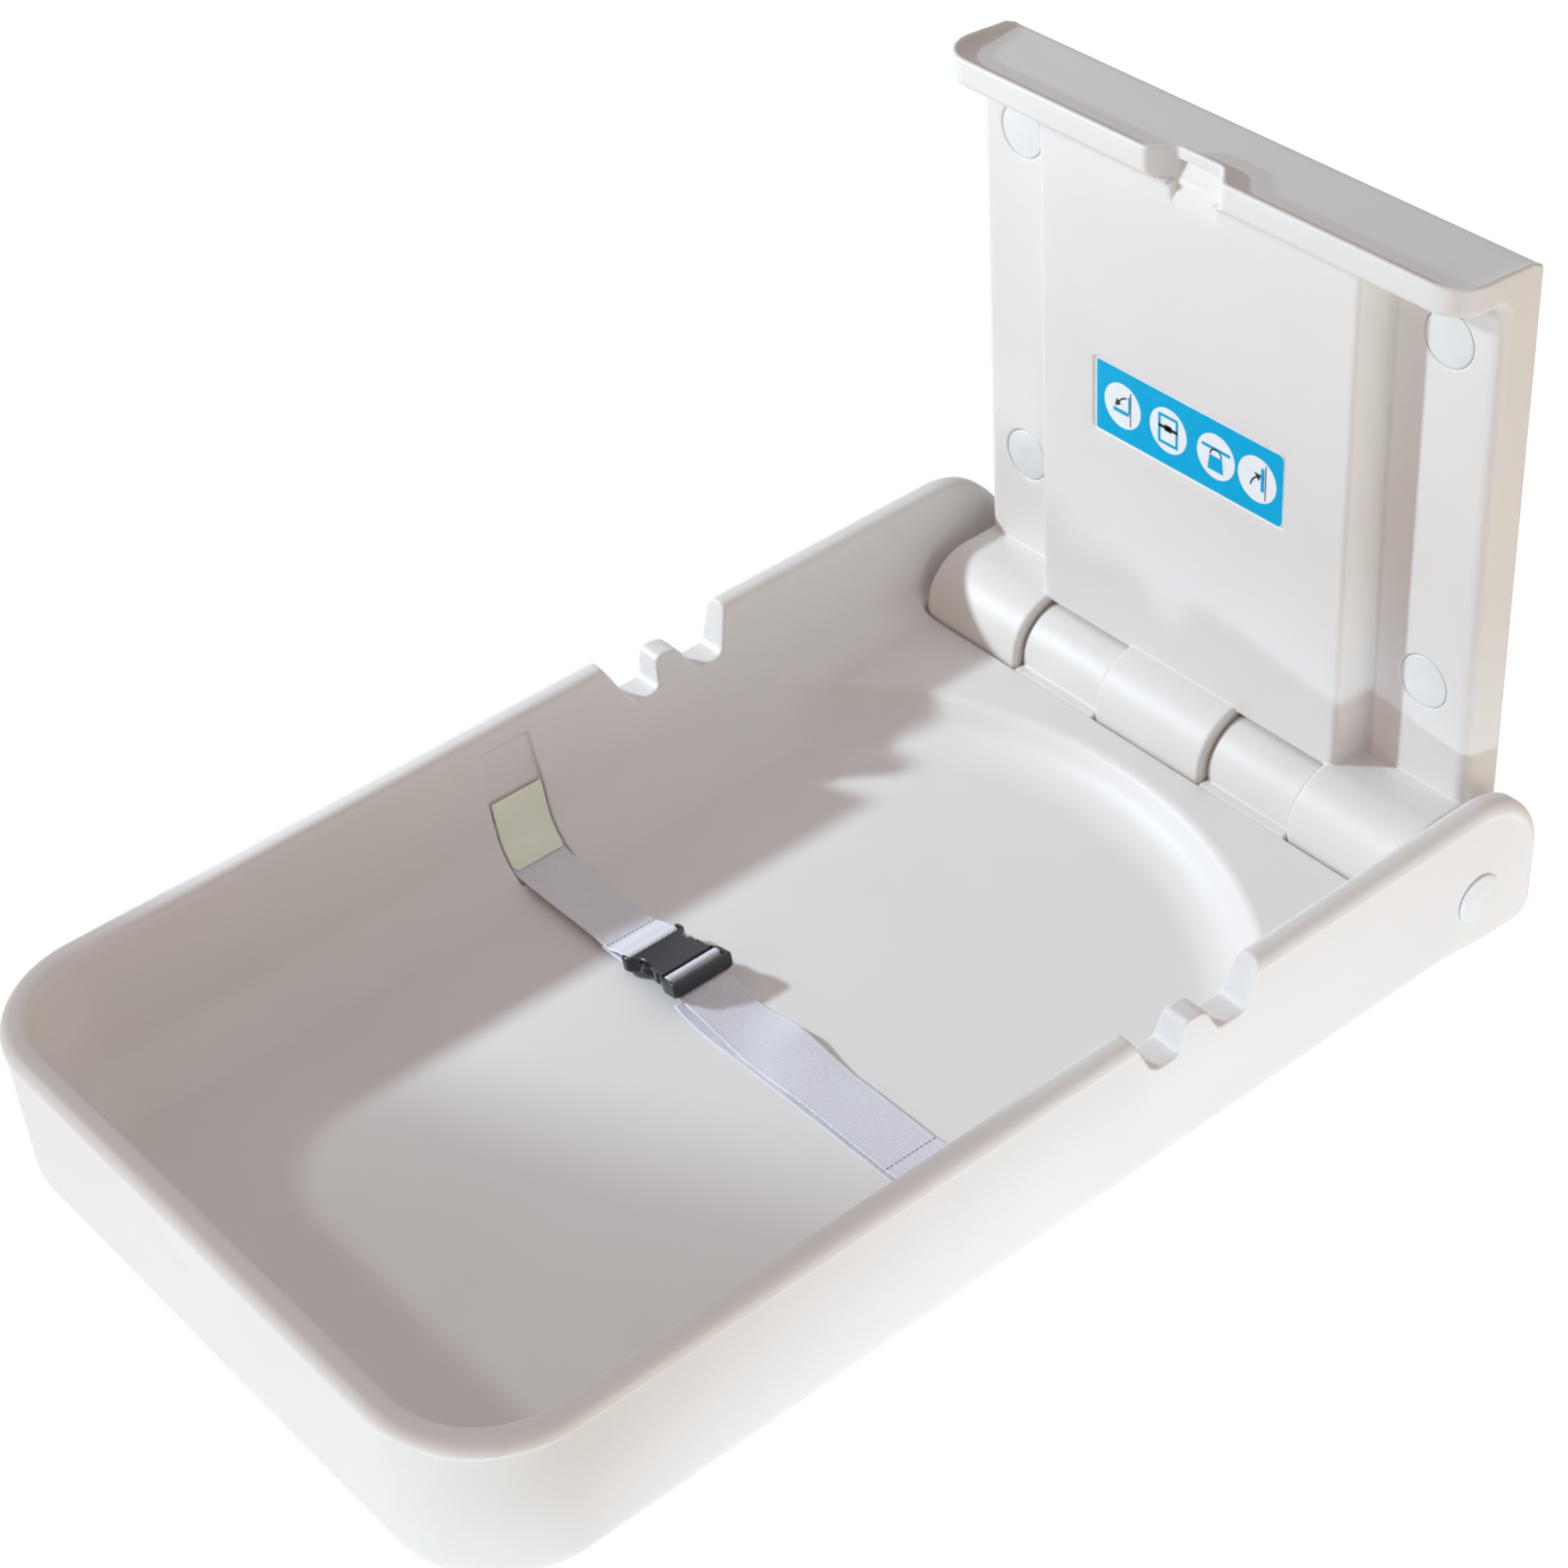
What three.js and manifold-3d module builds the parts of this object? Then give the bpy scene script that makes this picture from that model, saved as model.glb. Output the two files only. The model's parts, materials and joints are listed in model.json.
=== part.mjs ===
// Vertical fold-down changing station, drawn open. Lengths are in millimetres, +Z is up.
// The wall is the plane y = 0, the tray opens towards -Y, and the left and right sides are alike.
// Every piece is drawn about the hinge axis, which runs along X, and one group sets it before the wall.
import * as THREE from "three";
import { mergeVertices } from "three/addons/utils/BufferGeometryUtils.js";
import Module from "manifold-3d";

const wasm = await Module();
wasm.setup();

// Sizes that several pieces share
const clearance = 0.3; // between pieces that seat on each other
const overrun = 6; // how far a cut runs past the face that it opens
const standoff = 19; // wall to the back of the moulded panel
const hingeReach = 61; // back of the panel to the hinge axis
const screwEdge = 43; // wall screws from the panel's sides
const screwLow = 127; // lower screws above the hinge axis
const screwHigh = 400; // upper screws above the hinge axis
const skin = 4; // wall of the hollow mouldings
const roundSides = 20; // sides of a bored or turned piece
const barrelSides = 32; // sides of a hinge barrel
const cornerSteps = 6; // facets of a plan corner
const edgeSteps = 3; // facets of a small rounded edge

// Moulded wall panel
const panelHalf = 240;
const stripDepth = 34; // side strips before the panel's back
const stripEdge = 10; // rounding between strip and side
const centreHalf = 148; // raised middle
const centreDepth = 65;
const centreDraft = 5; // how much wider the raised middle is at its foot
const centreSoft = 7; // rounding of its long edges
const panelDrop = 55; // lowest edge of the back plate, under the hinge axis

// Flange at the panel's top, with its lip and latch notch
const flangeTop = 467;
const flangeThickness = 25;
const flangeDepth = 75.5;
const flangeCorner = 28;
const flangeEdge = 7;
const lipWidth = 6;
const lipHeight = 9;
const lipRoot = 3; // rounding at the foot of the lip
const notchMouth = 70;
const notchBack = 40;
const notchDepth = 16.5;
const notchFade = 24; // length over which the notch runs out below the flange

// Hinge: three barrels on the panel, two on the tray, one rod
const panelBarrel = 42; // radius
const trayBarrel = 38.5; // radius
const barrelEdge = 6;
const barrelInner = 54; // half length of the middle barrel
const barrelOuter = 140; // inner end of the outer barrels
const barrelGap = 1.5; // running gap at the ends of a tray barrel
const barrelRelief = 43.5; // radius cut out of the panel behind a tray barrel
const webDrop = 20; // top of the webs between shelf and barrels, below the hinge axis
const rodRadius = 8;
const sleeveRadius = 11;
const tubeWall = 4; // wall of the moulded tube around the rod
const rodInset = 6; // end of the rod inside the ear's outer face
const nutRadius = 12;
const nutLength = 6.5;
const nutPocket = 15; // radius
const bushRadius = 12;

// Tray: the outer walls
const earGap = 2; // running gap between panel and ears
const earThickness = 41;
const trayReach = 863.5; // hinge axis to the front of the tray
const trayCorner = 87.5;
const rimTop = 78.5; // over the hinge axis
const rimRoll = 10; // outer rounding of the rim
const rimInner = 6; // inner rounding of the rim
const rimWidth = 21;
const trayBottom = 51; // underside below the hinge axis
const trayEdge = 20; // rounding along the underside
const wallDraft = 3; // how far the outer wall leans in
const earRear = 57; // behind the hinge axis
const earTopRadius = 58;
const earLowRadius = 25;
const earSoft = 8; // rounding of the ear's outer edge

// Tray: the bed inside the walls
const bedDrop = 36; // bed below the hinge axis
const bedFillet = 36; // rounding from bed to wall
const bedDraftAngle = THREE.MathUtils.degToRad(12);
const shelfDrop = 6; // raised shelf at the hinge
const shelfRear = 43; // rear edge of the shelf before the hinge axis
const headRadius = 341; // round head of the bed where the shelf starts
const headCentre = 411; // its centre before the hinge axis
const rampRun = 33;

// Bag hooks: a double groove with a tongue in each side wall
const hookCentre = 275; // before the hinge axis
const hookMouth = 112;
const hookDrop = 36.5; // groove floor under the rim
const tongueDrop = 11.5; // tongue under the rim
const tongueLength = 22;
const tongueFront = 12; // front of the tongue before the hook's centre
const tongueLean = 8; // how far the back of the tongue leans
const grooveFront = 36; // start of the front groove's floor
const grooveRear = 44; // end of the rear groove's floor
const hookSoft = 6; // chamfer at the grooves' corners

// Underside cover, its screws and their bosses
const coverInset = 25;
const coverThickness = 3;
const coverRear = 112; // its rear edge before the hinge axis
const bossRadius = 8;
const coverScrewEdge = 93; // screws from the tray's sides
const coverScrewShares = [0.073, 0.362, 0.651, 0.94]; // along the cover, from its rear
const coverScrewRadius = 2;
const coverScrewLength = 9;
const coverHeadRadius = 4.5;
const coverHeadHeight = 2.4;

// Rubber stops that carry the open tray, one under each tray barrel
const stopWidth = 40;
const stopThickness = 5.6;
const stopHeight = 10;
const stopArmWidth = 50;
const stopArmHeight = 13;

// Wall screws, their caps, washers and spacers, and the steel back plate
const capRadius = 20.4;
const capThickness = 1.9;
const capDome = 0.6;
const capRecess = 2.4;
const headPocketRadius = 13;
const headPocketDepth = 14;
const screwBoss = 17; // radius
const screwRadius = 4;
const screwHeadRadius = 7.5;
const screwHeadHeight = 5.5;
const washerRadius = 11;
const washerThickness = 1.6;
const spacerRadius = 10;
const plateInset = 30; // sides of the back plate inside the panel's sides
const plateMargin = 29.5; // back plate above and below the screws
const plateCorner = 14;
const plateSteel = 2.5;
const pivotCapRadius = 18.8;

// Label plate
const labelWidth = 181;
const labelHeight = 59;
const labelThickness = 1.2;
const labelCorner = 5;
const labelRise = 245.5; // its middle above the hinge axis

// Restraint strap and its anchor plates
const strapPlace = 427; // strap centre before the hinge axis
const strapWidth = 45;
const strapThickness = 1.6;
const recessDepth = 4.5;
const recessWidth = 49;
const recessTop = 62; // above the hinge axis
const plateTop = 24;
const plateFoot = 25; // lower edge of the anchor plate below the hinge axis
const anchorThickness = 2;
const strapTail = 8; // hidden end under the plate, above the hinge axis
const recessRun = 18; // length of the recess on the flat bed

// Side-release buckle
const buckleLeft = 104; // left of the centre plane
const buckleHalf = 26;
const buckleThickness = 12;
const buckleLift = 5; // over the bed
const socketLength = 38;
const plugLength = 26;
const buckleWall = 2.5;
const buckleCorner = 6;
const ladderSlot = 5;
const ladderBar = 6;
const guideHalf = 4;
const guideLength = 28;
const armInner = 9; // inner side of a release arm from the buckle's middle
const armWidth = 4;
const armLength = 25;
const armBarb = 23.2; // outer side of the pressed pad from the buckle's middle
const armPadStart = 9;
const armPadLength = 11;

// Places that follow from the sizes above
const earInner = panelHalf + earGap; // inner face of the ears
const trayHalf = earInner + earThickness;
const rodReach = trayHalf - rodInset; // half length of the rod
const plateHalf = panelHalf - plateInset;
const screwPlace = panelHalf - screwEdge; // wall screws from the centre plane
const screwMiddle = (screwLow + screwHigh) / 2;
const plateHeight = screwHigh - screwLow + 2 * plateMargin;
const wallFace = standoff + hingeReach;
const panelBack = hingeReach;
const stripFace = panelBack - stripDepth;
const centreFace = panelBack - centreDepth;
const flangeFront = panelBack - flangeDepth;
const flangeLow = flangeTop - flangeThickness;
const rodBore = rodRadius + clearance;
const bedLevel = -bedDrop;
const shelfLevel = -shelfDrop;
const rimEnd = rimTop - rimInner; // where the bed's wall meets the rim's inner rounding
const filletHeight = bedLevel + bedFillet;
const filletInset =
  rimWidth +
  (rimEnd - filletHeight) * Math.tan(bedDraftAngle) +
  bedFillet / Math.cos(bedDraftAngle);
const bedEdge = trayHalf - filletInset; // half width of the flat bed
const stopAcross = (barrelInner + barrelOuter) / 2; // middle of a tray barrel from the centre plane

// Geometry helpers
const flat = (x, y) => new THREE.Vector2(x, y);

function arc(cx, cy, radius, from, to, steps) {
  return Array.from({ length: steps + 1 }, (_, i) => {
    const a = THREE.MathUtils.degToRad(from + ((to - from) * i) / steps);
    return flat(cx + radius * Math.cos(a), cy + radius * Math.sin(a));
  });
}

function solid(geometry) {
  geometry.deleteAttribute("normal");
  geometry.deleteAttribute("uv");
  const merged = mergeVertices(geometry, 1e-4);
  return new wasm.Manifold(
    new wasm.Mesh({
      numProp: 3,
      vertProperties: merged.attributes.position.array,
      triVerts: new Uint32Array(merged.index.array),
    }),
  );
}

const join = (shapes) => shapes.reduce((all, next) => all.add(next));
const cut = (shape, tools) => tools.reduce((left, tool) => left.subtract(tool), shape);

function block(x0, x1, y0, y1, z0, z1) {
  const geometry = new THREE.BoxGeometry(x1 - x0, y1 - y0, z1 - z0);
  return solid(geometry.translate((x0 + x1) / 2, (y0 + y1) / 2, (z0 + z1) / 2));
}

// A round bar along X, Y or Z, from a to b on that axis, at p and q on the other two.
function bar(axis, radius, a, b, p, q, sides = roundSides) {
  const geometry = new THREE.CylinderGeometry(radius, radius, b - a, sides);
  const middle = (a + b) / 2;
  if (axis === "x") geometry.rotateZ(-Math.PI / 2).translate(middle, p, q);
  if (axis === "y") geometry.translate(p, middle, q);
  if (axis === "z") geometry.rotateX(Math.PI / 2).translate(p, q, middle);
  return solid(geometry);
}

// A turned piece about the X or Y axis, from (radius, place on the axis) points.
function turned(axis, points, p, q, sides = roundSides) {
  const geometry = new THREE.LatheGeometry(points, sides);
  if (axis === "x") geometry.rotateZ(-Math.PI / 2).translate(0, p, q);
  if (axis === "y") geometry.translate(p, 0, q);
  return solid(geometry);
}

// An outline extruded along X (points are y, z), Y (points are x, z) or Z (points are x, y).
const bases = {
  x: [new THREE.Vector3(0, 1, 0), new THREE.Vector3(0, 0, 1), new THREE.Vector3(1, 0, 0)],
  y: [new THREE.Vector3(1, 0, 0), new THREE.Vector3(0, 0, 1), new THREE.Vector3(0, -1, 0)],
  z: [new THREE.Vector3(1, 0, 0), new THREE.Vector3(0, 1, 0), new THREE.Vector3(0, 0, 1)],
};
function prism(axis, points, from, to, bevel = 0) {
  const geometry = new THREE.ExtrudeGeometry(new THREE.Shape(points), {
    depth: to - from - 2 * bevel,
    bevelEnabled: bevel > 0,
    bevelThickness: bevel,
    bevelSize: bevel,
    bevelOffset: -bevel,
    bevelSegments: edgeSteps,
    steps: 1,
  });
  const start = axis === "y" ? -to : from;
  geometry.translate(0, 0, start + bevel);
  geometry.applyMatrix4(new THREE.Matrix4().makeBasis(...bases[axis]));
  return solid(geometry);
}

function roundedBox(x0, x1, z0, z1, radius) {
  return [
    ...arc(x1 - radius, z0 + radius, radius, -90, 0, edgeSteps),
    ...arc(x1 - radius, z1 - radius, radius, 0, 90, edgeSteps),
    ...arc(x0 + radius, z1 - radius, radius, 90, 180, edgeSteps),
    ...arc(x0 + radius, z0 + radius, radius, 180, 270, edgeSteps),
  ];
}

// A plan ring that is square at the rear and rounded at its two front corners, drawn in by inset.
function planRing(plan, inset, z) {
  const x = plan.half - inset;
  const y = plan.front + inset;
  const r = plan.corner - inset;
  return [
    flat(x, plan.rear),
    flat(-x, plan.rear),
    ...arc(-x + r, y + r, r, 180, 270, cornerSteps),
    ...arc(x - r, y + r, r, 270, 360, cornerSteps),
  ].map((p) => new THREE.Vector3(p.x, p.y, z));
}

// A closed solid through rings of equal counts, lowest first.
function loft(rings) {
  const count = rings[0].length;
  const at = (ring, i) => ring * count + (i % count);
  const index = [];
  for (let ring = 0; ring + 1 < rings.length; ring++)
    for (let i = 0; i < count; i++) {
      index.push(at(ring, i), at(ring, i + 1), at(ring + 1, i));
      index.push(at(ring, i + 1), at(ring + 1, i + 1), at(ring + 1, i));
    }
  const top = rings.length - 1;
  for (let i = 1; i + 1 < count; i++) {
    index.push(at(0, 0), at(0, i + 1), at(0, i));
    index.push(at(top, 0), at(top, i), at(top, i + 1));
  }
  const geometry = new THREE.BufferGeometry().setFromPoints(rings.flat());
  geometry.setIndex(index);
  return solid(geometry);
}

// A strip of even thickness along a line of x, z points, between two y places.
function ribbon(line, thickness, y0, y1) {
  const sides = [thickness / 2, -thickness / 2].map((offset) =>
    line.map((p, i) => {
      const before = line[Math.max(i - 1, 0)];
      const after = line[Math.min(i + 1, line.length - 1)];
      const along = after.clone().sub(before).normalize();
      return flat(p.x - along.y * offset, p.y + along.x * offset);
    }),
  );
  return prism("y", [...sides[0], ...sides[1].reverse()], y0, y1);
}

// Scene
const station = new THREE.Group();
station.position.set(0, -wallFace, -screwMiddle);

const paints = {
  moulding: new THREE.MeshStandardMaterial({ color: 0xdcd7d2, roughness: 0.5 }),
  cap: new THREE.MeshStandardMaterial({ color: 0xe6ebed, roughness: 0.35 }),
  label: new THREE.MeshStandardMaterial({ color: 0x12a5dd, roughness: 0.3 }),
  steel: new THREE.MeshStandardMaterial({ color: 0x9a9da0, roughness: 0.4, metalness: 1 }),
  acetal: new THREE.MeshStandardMaterial({ color: 0xf0eee6, roughness: 0.4 }),
  rubber: new THREE.MeshStandardMaterial({ color: 0x26262a, roughness: 0.9 }),
  anchor: new THREE.MeshStandardMaterial({ color: 0xcdccba, roughness: 0.45 }),
  webbing: new THREE.MeshStandardMaterial({ color: 0xc9c6d0, roughness: 0.9 }),
  buckle: new THREE.MeshStandardMaterial({ color: 0x33343b, roughness: 0.4 }),
};

function place(name, shape, paint) {
  const made = shape.getMesh();
  const geometry = new THREE.BufferGeometry();
  geometry.setAttribute("position", new THREE.BufferAttribute(made.vertProperties, 3));
  geometry.setIndex(new THREE.BufferAttribute(made.triVerts, 1));
  const mesh = new THREE.Mesh(geometry, paint);
  mesh.name = name;
  station.add(mesh);
}

// Wall panel: one hollow moulding, open at the back
const flangePlan = { half: panelHalf, front: flangeFront, corner: flangeCorner };

function panelSection(inset, back) {
  const x = panelHalf - inset;
  const strip = stripFace + inset;
  const face = centreFace + inset;
  const edge = stripEdge - inset;
  const soft = centreSoft - inset;
  const foot = centreHalf + centreDraft - inset;
  const top = centreHalf - inset;
  const right = [
    flat(x, back),
    ...arc(x - edge, strip + edge, edge, 0, -90, edgeSteps),
    ...arc(foot + centreSoft, strip - centreSoft, centreSoft, 90, 180, edgeSteps),
    ...arc(top - soft, face + soft, soft, 0, -90, edgeSteps),
  ];
  return [...right, ...right.map((p) => flat(-p.x, p.y)).reverse()].reverse();
}

function barrel(from, to, radius) {
  const edge = Math.min(barrelEdge, radius);
  return turned(
    "x",
    [
      flat(0, from),
      ...arc(radius - edge, from + edge, edge, -90, 0, edgeSteps),
      ...arc(radius - edge, to - edge, edge, 0, 90, edgeSteps),
      flat(0, to),
    ],
    0,
    0,
    barrelSides,
  );
}

// The hollow of a barrel, which leaves the tube around the rod and opens to one side.
function barrelHollow(from, to, radius, opening) {
  const round = bar("x", radius - skin, from + skin, to - skin, 0, 0, barrelSides);
  const tube = bar("x", sleeveRadius + tubeWall, from, to, 0, 0);
  return round.add(opening).subtract(tube);
}

function flangeNotch(grow) {
  const mouth = notchMouth / 2 + grow;
  const back = notchBack / 2 + grow;
  const rear = flangeFront + notchDepth + grow;
  const lead = (mouth - back) / notchDepth;
  const outer = mouth + lead * overrun;
  const plan = [flat(-outer, flangeFront - overrun), flat(outer, flangeFront - overrun)];
  plan.push(flat(back, rear), flat(-back, rear));
  const through = prism("z", plan, flangeLow - grow, flangeTop + overrun);
  const fade = [flat(centreFace, flangeLow - notchFade - grow), flat(rear, flangeLow)];
  fade.push(flat(rear, flangeLow + skin), flat(flangeFront - overrun, flangeLow + skin));
  fade.push(flat(flangeFront - overrun, flangeLow - notchFade - grow));
  return through.add(prism("x", fade, -back, back));
}

function makePanel() {
  const panelBarrels = [
    [-panelHalf, -barrelOuter],
    [-barrelInner, barrelInner],
    [barrelOuter, panelHalf],
  ];
  const trayZones = [
    [-barrelOuter, -barrelInner],
    [barrelInner, barrelOuter],
  ];
  const flange = { ...flangePlan, rear: panelBack };
  const open = { ...flangePlan, rear: panelBack + overrun };
  const recess = flangeTop - lipHeight;
  const rings = [
    ...arc(flangeEdge, flangeLow + flangeEdge, flangeEdge, -90, -180, edgeSteps),
    ...arc(lipWidth / 2, flangeTop - lipWidth / 2, lipWidth / 2, 180, 90, edgeSteps),
  ].map((p) => planRing(flange, p.x, p.y));
  const recessRings = [
    ...arc(lipWidth + lipRoot, recess + lipRoot, lipRoot, -90, -180, edgeSteps),
    flat(lipWidth, flangeTop + overrun),
  ].map((p) => planRing(open, p.x, p.y));

  let shell = join([
    prism("z", panelSection(0, panelBack), panelBarrel - skin, flangeTop - lipHeight - skin),
    block(-panelHalf, panelHalf, barrelRelief, panelBack, -panelDrop, panelBarrel),
    loft(rings),
    ...panelBarrels.map(([a, b]) => barrel(a, b, panelBarrel)),
    ...panelBarrels.map(([a, b]) => block(a, b, 0, panelBack, -panelBarrel, panelBarrel)),
  ]);
  shell = cut(shell, [
    loft(recessRings),
    flangeNotch(0),
    ...trayZones.map(([a, b]) => bar("x", barrelRelief, a, b, 0, 0, barrelSides)),
    ...trayZones.map(([a, b]) => block(a, b, -barrelRelief, barrelRelief, -panelDrop, 0)),
  ]);

  // The hollow behind, which keeps a skin, the screw bosses and the rod's tube
  const back = panelBack + overrun;
  const flangeHollow = [flangeLow + skin, recess - skin].map((z) => planRing(open, lipWidth, z));
  let hollow = join([
    prism("z", panelSection(skin, back), panelBarrel + skin, flangeLow + skin + clearance),
    loft(flangeHollow),
  ]).subtract(flangeNotch(skin));
  const barrelHollows = panelBarrels.map(([a, b]) => {
    const lid = panelBarrel - skin;
    return barrelHollow(a, b, panelBarrel, block(a + skin, b - skin, 0, back, -lid, lid));
  });
  const zoneHollows = trayZones.map(([a, b]) =>
    block(a + skin, b - skin, barrelRelief + skin, back, -panelDrop + skin, panelBarrel - skin),
  );
  const places = screwPlaces();
  hollow = cut(hollow, places.map(({ x, z }) => bar("y", screwBoss, stripFace, back, x, z)));
  shell = cut(shell, [hollow, ...barrelHollows, ...zoneHollows]);

  const recessHalf = labelWidth / 2 + clearance;
  const labelLow = labelRise - labelHeight / 2 - clearance;
  const labelHigh = labelRise + labelHeight / 2 + clearance;
  const labelPocket = roundedBox(-recessHalf, recessHalf, labelLow, labelHigh, labelCorner);
  return cut(shell, [
    prism("y", labelPocket, centreFace - overrun, centreFace + labelThickness + clearance),
    bar("x", rodBore, -panelHalf - overrun, panelHalf + overrun, 0, 0),
    ...places.flatMap(({ x, z }) => [
      bar("y", capRadius + clearance, stripFace - overrun, stripFace + capRecess, x, z),
      bar("y", headPocketRadius, stripFace, stripFace + headPocketDepth, x, z),
      bar("y", screwRadius + clearance, stripFace, back, x, z),
    ]),
  ]);
}

function screwPlaces() {
  return [screwHigh, screwLow].flatMap((z) => [-screwPlace, screwPlace].map((x) => ({ x, z })));
}

// Back plate against the wall, with a folded edge that steadies the panel
function makeBackPlate() {
  const low = screwMiddle - plateHeight / 2;
  const high = screwMiddle + plateHeight / 2;
  const outer = roundedBox(-plateHalf, plateHalf, low, high, plateCorner);
  const inner = roundedBox(
    plateSteel - plateHalf,
    plateHalf - plateSteel,
    low + plateSteel,
    high - plateSteel,
    plateCorner - plateSteel,
  );
  const front = panelBack + clearance;
  return cut(prism("y", outer, front, wallFace), [
    prism("y", inner, front - overrun, wallFace - plateSteel),
    ...screwPlaces().map(({ x, z }) => {
      return bar("y", screwRadius + clearance, wallFace - overrun, wallFace + overrun, x, z);
    }),
  ]);
}

// One wall screw with its washer, spacer and cap
function placeFixing({ x, z }, number) {
  const seat = stripFace + headPocketDepth - clearance;
  const washerFront = seat - washerThickness;
  const headBack = washerFront - clearance;
  const washerHole = bar("y", screwRadius + clearance, washerFront - overrun, seat + overrun, x, z);
  const washer = bar("y", washerRadius, washerFront, seat, x, z).subtract(washerHole);
  const screw = bar("y", screwHeadRadius, headBack - screwHeadHeight, headBack, x, z).add(
    bar("y", screwRadius, headBack - screwHeadHeight / 2, wallFace - clearance, x, z),
  );
  const spacerFront = panelBack + clearance;
  const spacerBack = wallFace - plateSteel - clearance;
  const spacer = bar("y", spacerRadius, spacerFront, spacerBack, x, z).subtract(
    bar("y", screwRadius + clearance, spacerFront - overrun, spacerBack + overrun, x, z),
  );
  const capBack = stripFace + capRecess - clearance;
  const capFront = capBack - capThickness;
  const dome = [flat(0, capFront - capDome), flat(capRadius / 2, capFront - capDome * 0.75)];
  const side = [flat(capRadius, capFront), flat(capRadius, capBack), flat(0, capBack)];
  const cap = turned("y", [...dome, ...side], x, z);
  place(`mounting_screw_${number}`, screw, paints.steel);
  place(`screw_washer_${number}`, washer, paints.steel);
  place(`wall_spacer_${number}`, spacer, paints.steel);
  place(`screw_cap_${number}`, cap, paints.cap);
}

function makeLabel() {
  const half = labelWidth / 2;
  const outline = roundedBox(
    -half,
    half,
    labelRise - labelHeight / 2,
    labelRise + labelHeight / 2,
    labelCorner,
  );
  return prism("y", outline, centreFace, centreFace + labelThickness);
}

// Tray: outer block, the space above the bed, and the side view of the ears, each drawn in by an inset
const trayPlan = { half: trayHalf, front: -trayReach, corner: trayCorner, rear: earRear + overrun };

function trayOuter(inset) {
  const low = -trayBottom + trayEdge;
  const high = rimTop - rimRoll;
  return loft(
    [
      ...arc(trayEdge + wallDraft, low, trayEdge - inset, -90, -180, edgeSteps + 1),
      ...arc(rimRoll, high, rimRoll - inset, 180, 90, edgeSteps),
    ].map((p) => planRing(trayPlan, p.x, p.y)),
  );
}

// Inner wall as (inset from the tray's outline, height) points, from the bed up to the rim.
function bedWall(grow) {
  const startAngle = 180 + THREE.MathUtils.radToDeg(bedDraftAngle);
  return [
    ...arc(filletInset, filletHeight, bedFillet + grow, 270, startAngle, cornerSteps),
    flat(rimWidth - grow, rimEnd),
  ];
}

function traySpace(grow) {
  const lip = arc(rimWidth - rimInner, rimEnd, rimInner, 0, 90, edgeSteps).slice(1);
  const profile = [...bedWall(grow)];
  if (grow > 0) profile.push(flat(rimWidth - grow, rimTop + overrun));
  else profile.push(...lip.map((p) => flat(p.x, p.y)), flat(rimWidth - rimInner, rimTop + overrun));
  const space = loft(profile.map((p) => planRing(trayPlan, p.x, p.y)));
  // The shelf at the hinge fills the space behind the bed's round head.
  const shelfTop = shelfLevel - grow;
  const under = bedLevel - grow - overrun;
  const shelfFront = -headCentre + grow;
  const shelf = block(-trayHalf, trayHalf, shelfFront, trayPlan.rear + overrun, under, shelfTop);
  const rise = bedLevel - grow;
  const ramp = Array.from({ length: cornerSteps + 1 }, (_, i) => {
    const t = i / cornerSteps;
    const eased = t * t * (3 - 2 * t);
    return flat(headRadius + grow - rampRun * (1 - t), rise + (shelfTop - rise) * eased);
  });
  const head = new THREE.LatheGeometry(
    [flat(0, under - overrun), flat(ramp[0].x, under - overrun), ...ramp]
      .concat(flat(headRadius + grow, shelfTop + overrun), flat(0, shelfTop + overrun)),
    2 * barrelSides,
  );
  const headCut = solid(head.rotateX(Math.PI / 2).translate(0, -headCentre, 0));
  return space.subtract(shelf.subtract(headCut));
}

// Side view of the tray, which rounds the ears.
function traySide(inset) {
  const front = -trayReach - overrun;
  const rear = earRear - earTopRadius;
  const outline = [
    flat(front, -trayBottom - overrun),
    flat(earRear - earLowRadius, -trayBottom - overrun),
    ...arc(earRear - earLowRadius, earLowRadius - trayBottom, earLowRadius - inset, -90, 0, cornerSteps),
    ...arc(rear, rimTop - earTopRadius, earTopRadius - inset, 0, 90, cornerSteps + 2),
    flat(rear, rimTop + overrun),
    flat(front, rimTop + overrun),
  ];
  const soft = inset > 0 ? 0 : earSoft;
  return prism("x", outline, inset - trayHalf, trayHalf - inset, soft);
}

// The double groove of a bag hook, as one cut through both side walls.
function hookCut(side, grow) {
  const half = hookMouth / 2 + grow;
  const floor = rimTop - hookDrop - grow;
  const tongue = rimTop - tongueDrop - grow;
  const shoulder = tongueFront - grow;
  const back = tongueFront - tongueLength + grow;
  const outline = [
    flat(-half - hookSoft, rimTop + overrun),
    flat(-half, rimTop - hookSoft),
    flat(-grooveFront - hookSoft - grow, floor + hookSoft),
    flat(-grooveFront - grow, floor),
    flat(-shoulder - hookSoft / 2, floor),
    flat(-shoulder, floor + hookSoft / 2),
    flat(-shoulder, tongue - hookSoft / 2),
    flat(-shoulder + hookSoft / 2, tongue),
    flat(-back - hookSoft / 2, tongue),
    flat(-back, tongue - hookSoft / 2),
    flat(-back + tongueLean, floor + hookSoft),
    flat(-back + tongueLean + hookSoft, floor),
    flat(grooveRear + grow, floor),
    flat(grooveRear + hookSoft + grow, floor + hookSoft),
    flat(half, rimTop - hookSoft),
    flat(half + hookSoft, rimTop + overrun),
  ].map((p) => flat(p.x - hookCentre, p.y));
  const inner = side * (earInner - hookDrop);
  const outer = side * (trayHalf + overrun);
  return prism("x", outline, Math.min(inner, outer), Math.max(inner, outer));
}

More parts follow.
